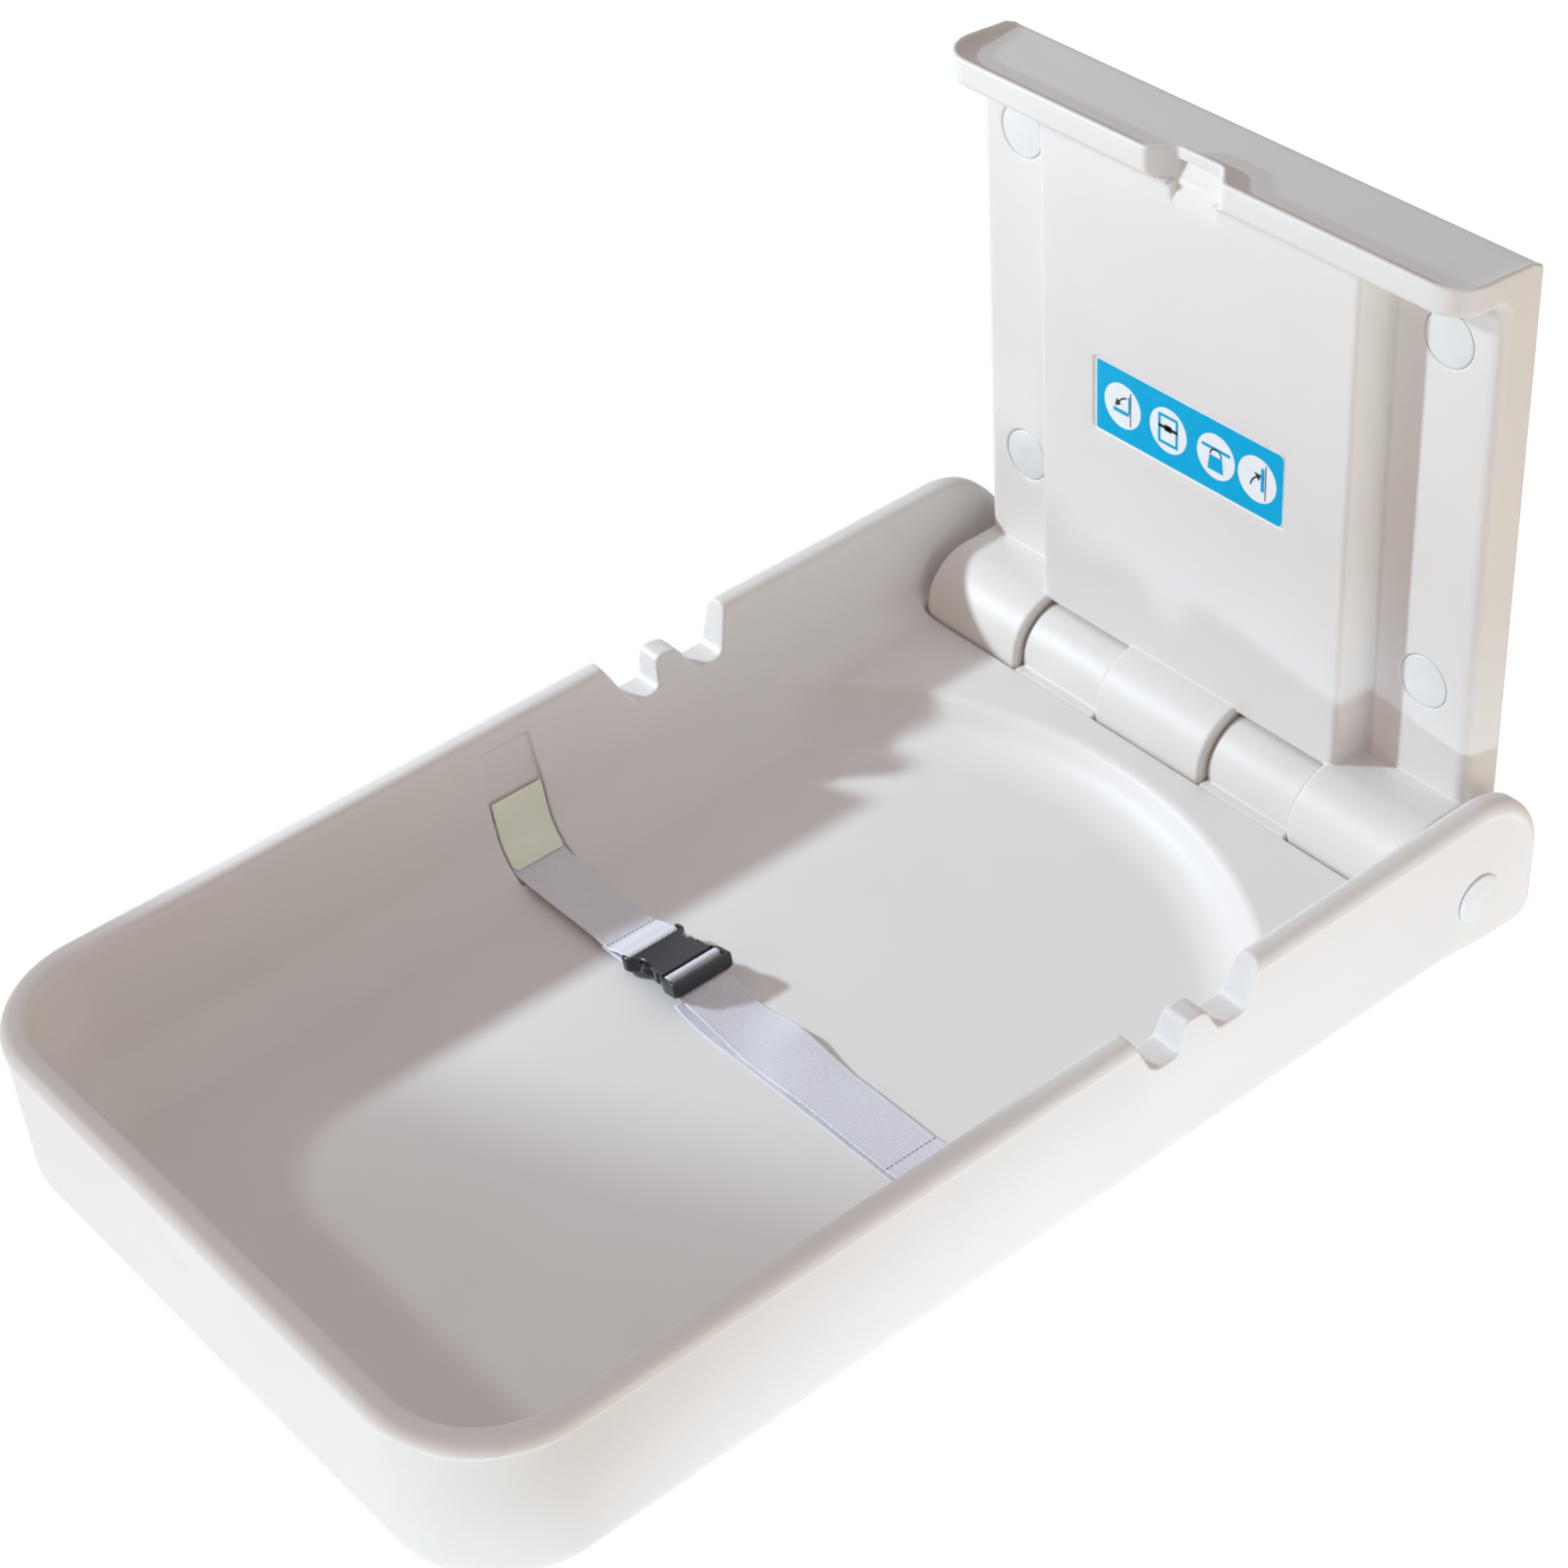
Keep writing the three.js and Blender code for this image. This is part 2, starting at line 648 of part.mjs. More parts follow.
// The part of the space that a strap recess takes, sunk into bed and wall.
function strapRecess(side, depth, grow) {
  const half = recessWidth / 2 + grow;
  const ends = [side * (bedEdge - recessRun - grow), side * (trayHalf - rimWidth / 2)];
  ends.sort((a, b) => a - b);
  const zone = block(
    ...ends,
    -strapPlace - half,
    -strapPlace + half,
    bedLevel - depth - grow - overrun,
    recessTop + grow,
  );
  return traySpace(depth + grow).intersect(zone);
}

const trayBarrels = [-1, 1].map((side) => {
  const ends = [side * (barrelInner + barrelGap), side * (barrelOuter - barrelGap)];
  return ends.sort((a, b) => a - b);
});

function makeTray() {
  const over = trayHalf + overrun;
  const slot = (grow) => {
    const x = earInner + grow;
    return block(-x, x, -shelfRear - grow, trayPlan.rear + overrun, -trayBottom - overrun, rimTop + overrun);
  };
  let tray = trayOuter(0).intersect(traySide(0));
  tray = cut(tray, [traySpace(0), slot(0)]);

  // The hollow between bed and outer walls
  const lowPlan = { ...trayPlan, rear: -coverRear + clearance };
  const coverOpening = loft(
    [-trayBottom - overrun, -bedDrop].map((z) => planRing(lowPlan, coverInset - clearance, z)),
  );
  let hollow = trayOuter(skin).intersect(traySide(skin)).add(coverOpening);
  hollow = cut(hollow, [traySpace(skin), slot(skin)]);
  for (const side of [-1, 1])
    hollow = cut(hollow, [hookCut(side, skin), strapRecess(side, recessDepth, skin)]);
  // The screw bosses run from the cover up into the bed or the shelf.
  const bossFoot = -trayBottom + coverThickness + clearance;
  hollow = cut(hollow, coverScrews().map(({ x, y }) => bar("z", bossRadius, bossFoot, shelfLevel, x, y)));
  tray = tray.subtract(hollow);
  const coverSpace = loft(
    [-trayBottom - overrun, bossFoot].map((z) => planRing(lowPlan, coverInset - clearance, z)),
  );
  tray = tray.subtract(coverSpace);

  // Ears with their bearing bosses, barrels with the webs that carry them, and the stop arms
  const earEnd = trayHalf;
  const bosses = [-1, 1].map((side) => {
    const ends = [side * earInner, side * earEnd].sort((a, b) => a - b);
    return bar("x", pivotCapRadius + skin, ends[0], ends[1], 0, 0);
  });
  const arms = [-1, 1].map(stopArm);
  const barrels = trayBarrels.flatMap(([a, b]) => [
    barrel(a, b, trayBarrel),
    block(a, b, -shelfRear - skin, 0, -trayBarrel, -webDrop),
  ]);
  tray = join([tray, ...bosses, ...barrels, ...arms]);
  const barrelHollows = trayBarrels.map(([a, b]) => {
    const half = trayBarrel / 2;
    return barrelHollow(a, b, trayBarrel, block(a + skin, b - skin, -half, half, -trayBarrel, 0));
  });
  const pocketStart = rodReach - nutLength - clearance;
  const bearings = [-1, 1].flatMap((side) => {
    const span = (from, to) => [side * from, side * to].sort((a, b) => a - b);
    const [a0, b0] = span(earInner - overrun, pocketStart);
    const [a1, b1] = span(pocketStart, over);
    const [a2, b2] = span(trayHalf - capRecess, over);
    return [
      bar("x", bushRadius + clearance, a0, b0, 0, 0),
      bar("x", nutPocket, a1, b1, 0, 0),
      bar("x", pivotCapRadius + clearance, a2, b2, 0, 0),
    ];
  });
  return cut(tray, [
    ...barrelHollows.map((shape, i) => shape.subtract(arms[i])),
    ...trayBarrels.map(([a, b]) => {
      return bar("x", sleeveRadius + clearance, a - overrun, b + overrun, 0, 0);
    }),
    ...bearings,
    hookCut(-1, 0),
    hookCut(1, 0),
    strapRecess(-1, recessDepth, 0),
    strapRecess(1, recessDepth, 0),
    ...coverScrews().map(({ x, y }) => {
      return bar("z", coverScrewRadius + clearance, -trayBottom, bedLevel - skin / 2, x, y);
    }),
  ]);
}

function stopArm(side) {
  const x = side * stopAcross;
  const rear = barrelRelief - stopThickness - 2 * clearance;
  const low = -trayBottom;
  const half = stopArmWidth / 2;
  return block(x - half, x + half, -shelfRear - skin, rear, low, low + stopArmHeight);
}

function makeStopPad(side) {
  const x = side * stopAcross;
  const half = stopWidth / 2;
  const rear = barrelRelief - clearance;
  const low = -trayBottom;
  const outline = roundedBox(x - half, x + half, low, low + stopHeight, stopHeight / 4);
  return prism("y", outline, rear - stopThickness, rear);
}

function coverScrews() {
  const across = trayHalf - coverScrewEdge;
  const length = trayReach - coverInset - coverRear;
  return coverScrewShares.flatMap((share) => {
    return [-across, across].map((x) => ({ x, y: -coverRear - length * share }));
  });
}

function makeCover() {
  const plan = { ...trayPlan, rear: -coverRear };
  const slab = loft(
    [-trayBottom, -trayBottom + coverThickness].map((z) => planRing(plan, coverInset, z)),
  );
  const reach = coverThickness + overrun;
  return cut(
    slab,
    coverScrews().map(({ x, y }) => {
      return bar("z", coverScrewRadius + clearance, -trayBottom - reach, -trayBottom + reach, x, y);
    }),
  );
}

function makeCoverScrew({ x, y }) {
  const seat = -trayBottom - clearance;
  return bar("z", coverHeadRadius, seat - coverHeadHeight, seat, x, y, roundSides / 2).add(
    bar("z", coverScrewRadius, seat - coverHeadHeight / 2, seat + coverScrewLength, x, y, roundSides / 2),
  );
}

function makePivotCap(side) {
  const back = trayHalf - capRecess + clearance;
  const front = back + capThickness;
  const outline = [flat(0, back), flat(pivotCapRadius, back), flat(pivotCapRadius, front)];
  outline.push(flat(pivotCapRadius / 2, front + capDome * 0.75), flat(0, front + capDome));
  const ends = side > 0 ? outline : outline.map((p) => flat(p.x, -p.y)).reverse();
  return turned("x", ends, 0, 0);
}

// Hinge rod, nuts, bushes and sleeves
function ringX(outer, inner, from, to, sides = roundSides) {
  const [a, b] = [from, to].sort((p, q) => p - q);
  return bar("x", outer, a, b, 0, 0, sides).subtract(bar("x", inner, a - overrun, b + overrun, 0, 0));
}

// Strap: plate and webbing follow the recess down the wall and on to the bed
function wallLine(side, depth, high, low) {
  const wall = bedWall(depth).map((p) => flat(side * (trayHalf - p.x), p.y));
  const inside = wall.filter((p) => p.y < high && p.y > low);
  const at = (height) => {
    const upper = Math.max(wall.findIndex((p) => p.y > height), 1);
    const [a, b] = [wall[upper - 1], wall[upper]];
    return a.clone().lerp(b, (height - a.y) / (b.y - a.y));
  };
  return [at(low), ...inside, at(high)];
}

function makeAnchorPlate(side) {
  const line = wallLine(side, clearance + anchorThickness / 2, plateTop, -plateFoot);
  return ribbon(line, anchorThickness, -strapPlace - strapWidth / 2, -strapPlace + strapWidth / 2);
}

const buckleLow = bedLevel + buckleLift;
const buckleMiddle = buckleLow + buckleThickness / 2;
const plugRight = -buckleLeft + socketLength + clearance + plugLength;

function makeStrap(side, end) {
  const depth = 2 * clearance + anchorThickness + strapThickness / 2;
  const hidden = wallLine(side, depth, strapTail, bedLevel - depth);
  const rest = bedLevel + clearance + strapThickness / 2;
  const start = side * (bedEdge - recessRun - strapThickness);
  const run = end - start;
  const waveShares = [
    [1, 1],
    [0.86, 0.8],
    [0.6, 0.25],
    [0.38, 0.3],
    [0.15, 0.12],
  ];
  const route = waveShares.map(([along, up]) => {
    return flat(start + run * along, rest + (buckleMiddle - rest) * up);
  });
  route.push(flat(side * (bedEdge - recessRun + 2 * strapThickness), rest + clearance));
  return ribbon(
    [...route, ...hidden],
    strapThickness,
    -strapPlace - strapWidth / 2,
    -strapPlace + strapWidth / 2,
  );
}

// Buckle: socket on the left, plug with its ladder on the right, a release arm on each side
function buckleBox(x0, x1, y0, y1, z0, z1) {
  return block(x0, x1, y0 - strapPlace, y1 - strapPlace, z0, z1);
}

const mouth = -buckleLeft + socketLength;

function makeSocket() {
  const low = buckleLow;
  const high = buckleLow + buckleThickness;
  const outline = roundedBox(-buckleLeft, mouth, -buckleHalf, buckleHalf, buckleCorner);
  const pocketEnd = mouth - guideLength - buckleWall;
  const body = prism(
    "z",
    outline.map((p) => flat(p.x, p.y - strapPlace)),
    low,
    high,
    buckleWall / 2,
  );
  const padStart = mouth - armPadStart - armPadLength - clearance * 4;
  const padEnd = mouth - armPadStart + clearance * 4;
  const windows = [-1, 1].map((side) => {
    const [a, b] = [side * (armInner + armWidth), side * (buckleHalf + overrun)].sort((p, q) => p - q);
    return buckleBox(padStart, padEnd, a, b, low + buckleWall, high - buckleWall);
  });
  const pocket = armInner + armWidth + clearance * 2;
  return cut(body, [
    buckleBox(pocketEnd, mouth + overrun, -pocket, pocket, low + buckleWall, high - buckleWall),
    ...windows,
  ]);
}

function makePlug() {
  const low = buckleLow;
  const high = buckleLow + buckleThickness;
  const start = mouth + clearance;
  const outline = roundedBox(start, plugRight, -buckleHalf, buckleHalf, buckleCorner);
  const frame = prism(
    "z",
    outline.map((p) => flat(p.x, p.y - strapPlace)),
    low,
    high,
    buckleWall / 2,
  );
  const slotHalf = strapWidth / 2 + clearance;
  const first = plugRight - ladderBar - ladderSlot;
  const second = first - ladderBar - ladderSlot;
  const slots = [first, second].map((x) => {
    return buckleBox(x, x + ladderSlot, -slotHalf, slotHalf, low - overrun, high + overrun);
  });
  const inner = buckleWall + clearance;
  const guide = buckleBox(
    mouth - guideLength,
    start + buckleWall,
    -guideHalf,
    guideHalf,
    low + inner,
    high - inner,
  );
  return cut(frame, slots).add(guide);
}

function makeArm(side) {
  const inner = buckleWall + clearance;
  const start = mouth;
  const outline = [
    flat(start, armInner),
    flat(start, armInner + armWidth),
    flat(start - armPadStart, armInner + armWidth),
    flat(start - armPadStart - clearance, armBarb),
    flat(start - armPadStart - armPadLength / 2, armBarb + clearance),
    flat(start - armPadStart - armPadLength, armInner + armWidth),
    flat(start - armLength, armInner + armWidth - clearance),
    flat(start - armLength, armInner),
  ];
  const points = outline.map((p) => flat(p.x, side * p.y - strapPlace));
  if (side > 0) points.reverse();
  return prism("z", points, buckleLow + inner, buckleLow + buckleThickness - inner);
}

// Assembly
place("wall_panel", makePanel(), paints.moulding);
place("wall_backplate", makeBackPlate(), paints.steel);
screwPlaces().forEach((spot, i) => placeFixing(spot, i + 1));
place("label_plate", makeLabel(), paints.label);
place("hinge_rod", bar("x", rodRadius, -rodReach, rodReach, 0, 0), paints.steel);
place("tray_moulding", makeTray(), paints.moulding);
place("tray_cover", makeCover(), paints.moulding);
coverScrews().forEach((spot, i) => place(`cover_screw_${i + 1}`, makeCoverScrew(spot), paints.steel));

for (const [side, word] of [
  [-1, "left"],
  [1, "right"],
]) {
  const nut = ringX(nutRadius, rodBore, side * (rodReach - nutLength), side * rodReach, 6);
  const bushEnd = rodReach - nutLength - 2 * clearance;
  const bush = ringX(bushRadius, rodBore, side * (earInner + clearance), side * bushEnd);
  const [a, b] = trayBarrels[side > 0 ? 1 : 0];
  place(`rod_nut_${word}`, nut, paints.steel);
  place(`ear_bush_${word}`, bush, paints.acetal);
  place(`hinge_sleeve_${word}`, ringX(sleeveRadius, rodBore, a + clearance, b - clearance), paints.acetal);
  place(`pivot_cap_${word}`, makePivotCap(side), paints.cap);
  place(`stop_pad_${word}`, makeStopPad(side), paints.rubber);
  place(`strap_plate_${word}`, makeAnchorPlate(side), paints.anchor);
}

place("strap_short", makeStrap(-1, -buckleLeft - clearance), paints.webbing);
place("strap_long", makeStrap(1, plugRight + clearance), paints.webbing);
place("buckle_socket", makeSocket(), paints.buckle);
place("buckle_plug", makePlug(), paints.buckle);
place("release_arm_front", makeArm(-1), paints.buckle);
place("release_arm_rear", makeArm(1), paints.buckle);

export default station;
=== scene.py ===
import json
import math

import bmesh
import bpy
import numpy as np
from mathutils import Matrix, Vector


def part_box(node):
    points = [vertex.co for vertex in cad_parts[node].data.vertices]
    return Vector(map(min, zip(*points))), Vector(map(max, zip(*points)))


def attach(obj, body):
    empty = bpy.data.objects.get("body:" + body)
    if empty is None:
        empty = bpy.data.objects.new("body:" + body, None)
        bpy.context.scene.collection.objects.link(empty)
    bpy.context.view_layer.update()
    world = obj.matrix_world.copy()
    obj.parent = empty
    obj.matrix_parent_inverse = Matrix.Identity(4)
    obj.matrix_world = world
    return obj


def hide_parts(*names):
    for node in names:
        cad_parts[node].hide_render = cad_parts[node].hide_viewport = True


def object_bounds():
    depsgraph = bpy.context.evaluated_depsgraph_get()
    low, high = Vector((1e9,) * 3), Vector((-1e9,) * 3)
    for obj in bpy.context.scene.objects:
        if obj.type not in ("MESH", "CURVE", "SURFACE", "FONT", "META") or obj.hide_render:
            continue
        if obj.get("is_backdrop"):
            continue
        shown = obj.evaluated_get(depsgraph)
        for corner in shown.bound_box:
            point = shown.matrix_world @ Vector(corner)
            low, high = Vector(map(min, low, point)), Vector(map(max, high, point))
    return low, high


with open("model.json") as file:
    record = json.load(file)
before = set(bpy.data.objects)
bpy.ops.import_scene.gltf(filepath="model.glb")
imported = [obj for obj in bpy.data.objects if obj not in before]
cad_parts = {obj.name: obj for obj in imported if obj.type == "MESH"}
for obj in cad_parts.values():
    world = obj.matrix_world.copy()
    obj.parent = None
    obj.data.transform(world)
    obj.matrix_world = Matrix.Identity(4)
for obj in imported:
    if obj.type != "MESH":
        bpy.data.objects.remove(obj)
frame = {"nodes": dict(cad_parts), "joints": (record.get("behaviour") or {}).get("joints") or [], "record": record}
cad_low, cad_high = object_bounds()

# Lengths below are millimetres from the hinge axis, X along the axis, Y towards the wall and Z up,
# except where a comment says metres.
MM = 0.001
HINGE = Vector(next(joint["pos_m"] for joint in frame["joints"] if joint["name"] == "tray_hinge"))


def box_mm(node):
    """Lowest and highest corner of a node, in millimetres from the hinge axis, to a thousandth."""
    return [[round((part - start) / MM, 3) for part, start in zip(spot, HINGE)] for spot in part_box(node)]


def middle_mm(node):
    return [(low + high) / 2 for low, high in zip(*box_mm(node))]


def new_object(name, data):
    made = bpy.data.objects.new(name, data)
    bpy.context.scene.collection.objects.link(made)
    return made


# Camera, set as the photograph was taken
CAMERA_PLACE = (1.40185, -1.53823, 1.31567)  # metres
CAMERA_ANGLES = (52.379, 38.895, -4.120)  # azimuth, elevation and roll in degrees
SENSOR_WIDTH, FOCAL_LENGTH = 36, 79.21


def make_camera():
    lens = bpy.data.cameras.new("studio_camera")
    camera = new_object("studio_camera", lens)
    azimuth, elevation, roll = map(math.radians, CAMERA_ANGLES)
    back = Vector((
        math.sin(azimuth) * math.cos(elevation),
        -math.cos(azimuth) * math.cos(elevation),
        math.sin(elevation),
    ))
    level = Vector((math.cos(azimuth), math.sin(azimuth), 0))
    upright = back.cross(level)
    right = level * math.cos(roll) + upright * math.sin(roll)
    up = upright * math.cos(roll) - level * math.sin(roll)
    turn = Matrix((right, up, back)).transposed()
    camera.matrix_world = Matrix.Translation(CAMERA_PLACE) @ turn.to_4x4()
    lens.sensor_width = SENSOR_WIDTH
    lens.sensor_fit = "HORIZONTAL"
    lens.lens = FOCAL_LENGTH
    lens.clip_start, lens.clip_end = 0.05, 50
    bpy.context.scene.camera = camera


make_camera()


# Finishes
def linear(code):
    """Linear colour of an sRGB hex value."""
    parts = [int(code[i:i + 2], 16) / 255 for i in (1, 3, 5)]
    return [*(c / 12.92 if c <= 0.04045 else ((c + 0.055) / 1.055) ** 2.4 for c in parts), 1.0]


def add(tree, kind, settings=(), inputs=()):
    """Adds a node. An input, by name or number, is a value or the (node, output) that it is linked to."""
    made = tree.nodes.new(kind)
    for key, value in dict(settings).items():
        setattr(made, key, value)
    for key, value in dict(inputs).items():
        if isinstance(value, tuple) and isinstance(value[0], bpy.types.Node):
            tree.links.new(value[0].outputs[value[1]], made.inputs[key])
        else:
            made.inputs[key].default_value = value
    return made


def emptied(owner):
    """The node tree of a material or world, with no nodes."""
    owner.use_nodes = True
    owner.node_tree.nodes.clear()
    return owner.node_tree


CLOUD_LOW, CLOUD_HIGH = 0.35, 0.65  # most of a noise's values lie between these


def surface(name, shades, roughness, cloud, grain, sockets):
    """A finish that drifts between two shades in clouds, over a fine grain.

    The roughness is one value, or the two that it drifts between. The cloud is its (size in mm, detail),
    and the grain its (size in mm, detail, depth in mm, strength), or nothing.
    """
    material = bpy.data.materials.new(name)
    tree = emptied(material)
    where = add(tree, "ShaderNodeTexCoord")
    noises = [
        add(tree, "ShaderNodeTexNoise", {}, {
            "Vector": (where, "Object"), "Scale": 1 / (size * MM), "Detail": detail,
        })
        for size, detail, *_ in (cloud, grain) if size
    ]
    share = add(tree, "ShaderNodeMapRange", {}, {
        "Value": (noises[0], "Fac"), "From Min": CLOUD_LOW, "From Max": CLOUD_HIGH,
    })
    light, dark = map(linear, shades)
    colour = add(tree, "ShaderNodeMix", {"data_type": "RGBA"}, {0: (share, "Result"), 6: dark, 7: light})
    looks = {"Base Color": (colour, 2), "Roughness": roughness, **sockets}
    if isinstance(roughness, tuple):
        spread = add(tree, "ShaderNodeMapRange", {}, {
            "Value": (noises[0], "Fac"), "To Min": roughness[0], "To Max": roughness[1],
        })
        looks["Roughness"] = (spread, "Result")
    if len(noises) > 1:
        _, _, depth, strength = grain
        raised = add(tree, "ShaderNodeBump", {}, {
            "Height": (noises[1], "Fac"), "Distance": depth * MM, "Strength": strength,
        })
        looks["Normal"] = (raised, "Normal")
    shader = add(tree, "ShaderNodeBsdfPrincipled", {}, looks)
    add(tree, "ShaderNodeOutputMaterial", {}, {"Surface": (shader, "BSDF")})
    return material


STRAP_HALF = 22.5


def polyester_webbing():
    """Woven polyester: slanting ribs with fine gaps, painted shade that darkens the webbing where the weave sits
    low, a smooth paler selvedge and a faint sheen.
    """
    material = bpy.data.materials.new("woven polyester")
    tree = emptied(material)
    where = add(tree, "ShaderNodeTexCoord")
    in_mm = add(tree, "ShaderNodeMapping", {}, {"Vector": (where, "UV"), "Scale": (1 / MM,) * 3})
    spot = add(tree, "ShaderNodeSeparateXYZ", {}, {0: (in_mm, "Vector")})
    waves = []
    # Cycle in mm, and slant, of the ribs and of the yarns. Real ribs are 1.1 mm apart, which is too fine
    # to show, so they are drawn 1.9 mm apart.
    for cycle, slant in ((1.9, 0.35), (0.35, 2.2)):
        lean = add(tree, "ShaderNodeMath", {"operation": "MULTIPLY_ADD"}, {
            0: (spot, "X"), 1: slant, 2: (spot, "Y"),
        })
        turn = add(tree, "ShaderNodeMath", {"operation": "MULTIPLY"}, {
            0: (lean, "Value"), 1: math.tau / cycle,
        })
        waves.append(add(tree, "ShaderNodeMath", {"operation": "SINE"}, {0: (turn, "Value")}))
    ribs, yarns = waves
    yarn_share, gap_shade_top = 0.35, 0.6
    selvedge_start, selvedge_end = STRAP_HALF - 1.0, STRAP_HALF - 0.6
    woven = add(tree, "ShaderNodeMath", {"operation": "MULTIPLY_ADD"}, {
        0: (yarns, "Value"), 1: yarn_share, 2: (ribs, "Value"),
    })
    height = add(tree, "ShaderNodeMapRange", {}, {
        "Value": (woven, "Value"), "From Min": -1 - yarn_share, "From Max": 1 + yarn_share,
    })
    # Painted shade: the webbing turns a darker bluish grey where the weave sits low, in the gaps between ribs and
    # yarns, and is pale on the raised yarns.
    paler = add(tree, "ShaderNodeMapRange", {}, {"Value": (height, "Result"), "From Max": gap_shade_top})
    cloth_with_gap_shade = add(tree, "ShaderNodeMix", {"data_type": "RGBA"}, {
        0: (paler, "Result"), 6: linear("#BCB9C6"), 7: linear("#F2F1F6"),
    })
    side = add(tree, "ShaderNodeMath", {"operation": "ABSOLUTE"}, {0: (spot, "X")})
    edge = add(tree, "ShaderNodeMapRange", {}, {
        "Value": (side, "Value"), "From Min": selvedge_start, "From Max": selvedge_end,
    })
    colour = add(tree, "ShaderNodeMix", {"data_type": "RGBA"}, {
        0: (edge, "Result"), 6: (cloth_with_gap_shade, 2), 7: linear("#EFEEF2"),
    })
    raised = add(tree, "ShaderNodeBump", {}, {
        "Height": (height, "Result"), "Distance": 0.2 * MM, "Strength": 0.8,
    })
    shader = add(tree, "ShaderNodeBsdfPrincipled", {}, {
        "Base Color": (colour, 2), "Normal": (raised, "Normal"),
        "Roughness": 0.8, "IOR": 1.5, "Sheen Weight": 0.2, "Sheen Roughness": 0.5,
    })
    add(tree, "ShaderNodeOutputMaterial", {}, {"Surface": (shader, "BSDF")})
    return material


NO_GRAIN = (0, 0)
FINISHES = {
    # Structural-foam polyethylene from a spark-eroded mould: an even, soft, slightly warm sheen.
    # The real grain is 0.3 mm, too fine to show, and is drawn at 0.9 mm.
    "moulding": surface(
        "moulded polyethylene", ("#E5E1DD", "#E3DFDB"), (0.45, 0.52), (90, 2), (0.9, 3, 0.02, 0.4),
        {"IOR": 1.51},
    ),
    # Polypropylene from a polished mould: a cooler, glossier white than the moulding
    "cap": surface(
        "polished polypropylene", ("#E3E4E2", "#E0E1DF"), (0.26, 0.32), (15, 2), NO_GRAIN, {"IOR": 1.49},
    ),
    # Screen-printed polycarbonate film, smooth with faint orange peel
    "label": surface(
        "printed polycarbonate", ("#00ADDF", "#00A8D8"), 0.34, (12, 2), (1.4, 2, 0.01, 0.3),
        {"IOR": 1.58, "Specular IOR Level": 0.1},
    ),
    # Zinc-plated steel, bright with a fine drawn grain and a blue-yellow cast
    "steel": surface(
        "zinc plated steel", ("#C3C4C6", "#ABAEB3"), (0.26, 0.44), (4, 4), (0.5, 3, 0.01, 0.4),
        {"Metallic": 1.0},
    ),
    # Natural acetal, milky and slippery
    "acetal": surface("natural acetal", ("#EFEDE5", "#E9E7DD"), 0.32, (8, 2), NO_GRAIN, {"IOR": 1.48}),
    # Moulded black rubber, dull with a dusty bloom
    "rubber": surface(
        "moulded rubber", ("#29292C", "#1E1E20"), 0.82, (3, 4), (0.6, 2, 0.04, 0.6), {"IOR": 1.52},
    ),
    # Glass-filled nylon, cream, with a fine matt skin
    "anchor": surface(
        "cream nylon", ("#F0F1E0", "#EBECD9"), 0.45, (40, 2), (0.9, 2, 0.02, 0.4), {"IOR": 1.53},
    ),
    "webbing": polyester_webbing(),
    # Black moulded acetal: deep grey with a satin, slightly worn gloss
    "buckle": surface(
        "black acetal", ("#21222B", "#1C1D24"), (0.19, 0.28), (9, 3), (1.0, 2, 0.01, 0.3), {"IOR": 1.48},
    ),
}
# Screen inks, a shade more matt than the film
WHITE_INK = surface("white screen ink", ("#F2F5F7", "#EEF1F4"), 0.42, (6, 2), NO_GRAIN, {"IOR": 1.5})
DARK_INK = surface("black screen ink", ("#1A1B1F", "#141518"), 0.45, (6, 2), NO_GRAIN, {"IOR": 1.5})
# Bonded nylon thread, dark, with a slight shine. Its twist is too fine to show, and is drawn at 0.8 mm.
THREAD = surface(
    "bonded nylon thread", ("#3C3A45", "#26252D"), 0.55, (0.8, 2), (0.8, 2, 0.05, 0.5), {"IOR": 1.53},
)


def settle(piece, slot, body, *nodes):
    """Gives a piece its finish and body, and hides the solids that it stands for."""
    if not piece.data.materials:
        piece.data.materials.append(FINISHES[slot])
    if nodes:
        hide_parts(*nodes)
    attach(piece, body)
    return piece


# Moulded shapes: each is a field of distances to its surface, negative inside, in millimetres
def corner(a, b, radius):
    """Two faces that meet in an outer edge of this radius."""
    u, v = a + radius, b + radius
    outside = np.sqrt(np.square(np.maximum(u, 0)) + np.square(np.maximum(v, 0)))
    return outside + np.minimum(np.maximum(u, v), 0) - radius


def fillet(a, b, radius):
    """Two bodies joined by a hollow corner of this radius."""
    return -corner(-a, -b, radius)


def carve(body, tool, radius):
    """A body less a tool, with the new edges rounded."""
    return corner(body, -tool, radius)


def ease(value, low, high):
    """0 below low, 1 above high, and smooth between."""
    t = np.clip((value - low) / (high - low), 0, 1)
    return t * t * (3 - 2 * t)


def radial(a, b):
    return np.sqrt(a * a + b * b)


def band(value, middle, half):
    """Distance to a band this much to each side of its middle, negative inside."""
    return np.abs(value - middle) - half


def outline(points, u, v):
    """Distance to a closed outline of (u, v) points, negative inside."""
    nearest = np.full(np.broadcast(u, v).shape, 1e9, np.float32)
    inside = np.zeros(nearest.shape, bool)
    for (au, av), (bu, bv) in zip(points, points[1:] + points[:1]):
        du, dv = bu - au, bv - av
        share = np.clip(((u - au) * du + (v - av) * dv) / (du * du + dv * dv), 0, 1)
        nearest = np.minimum(nearest, radial(u - au - share * du, v - av - share * dv))
        crosses = (av > v) != (bv > v)
        if dv:
            inside ^= crosses & (u < au + du * (v - av) / dv)
    return np.where(inside, -nearest, nearest)


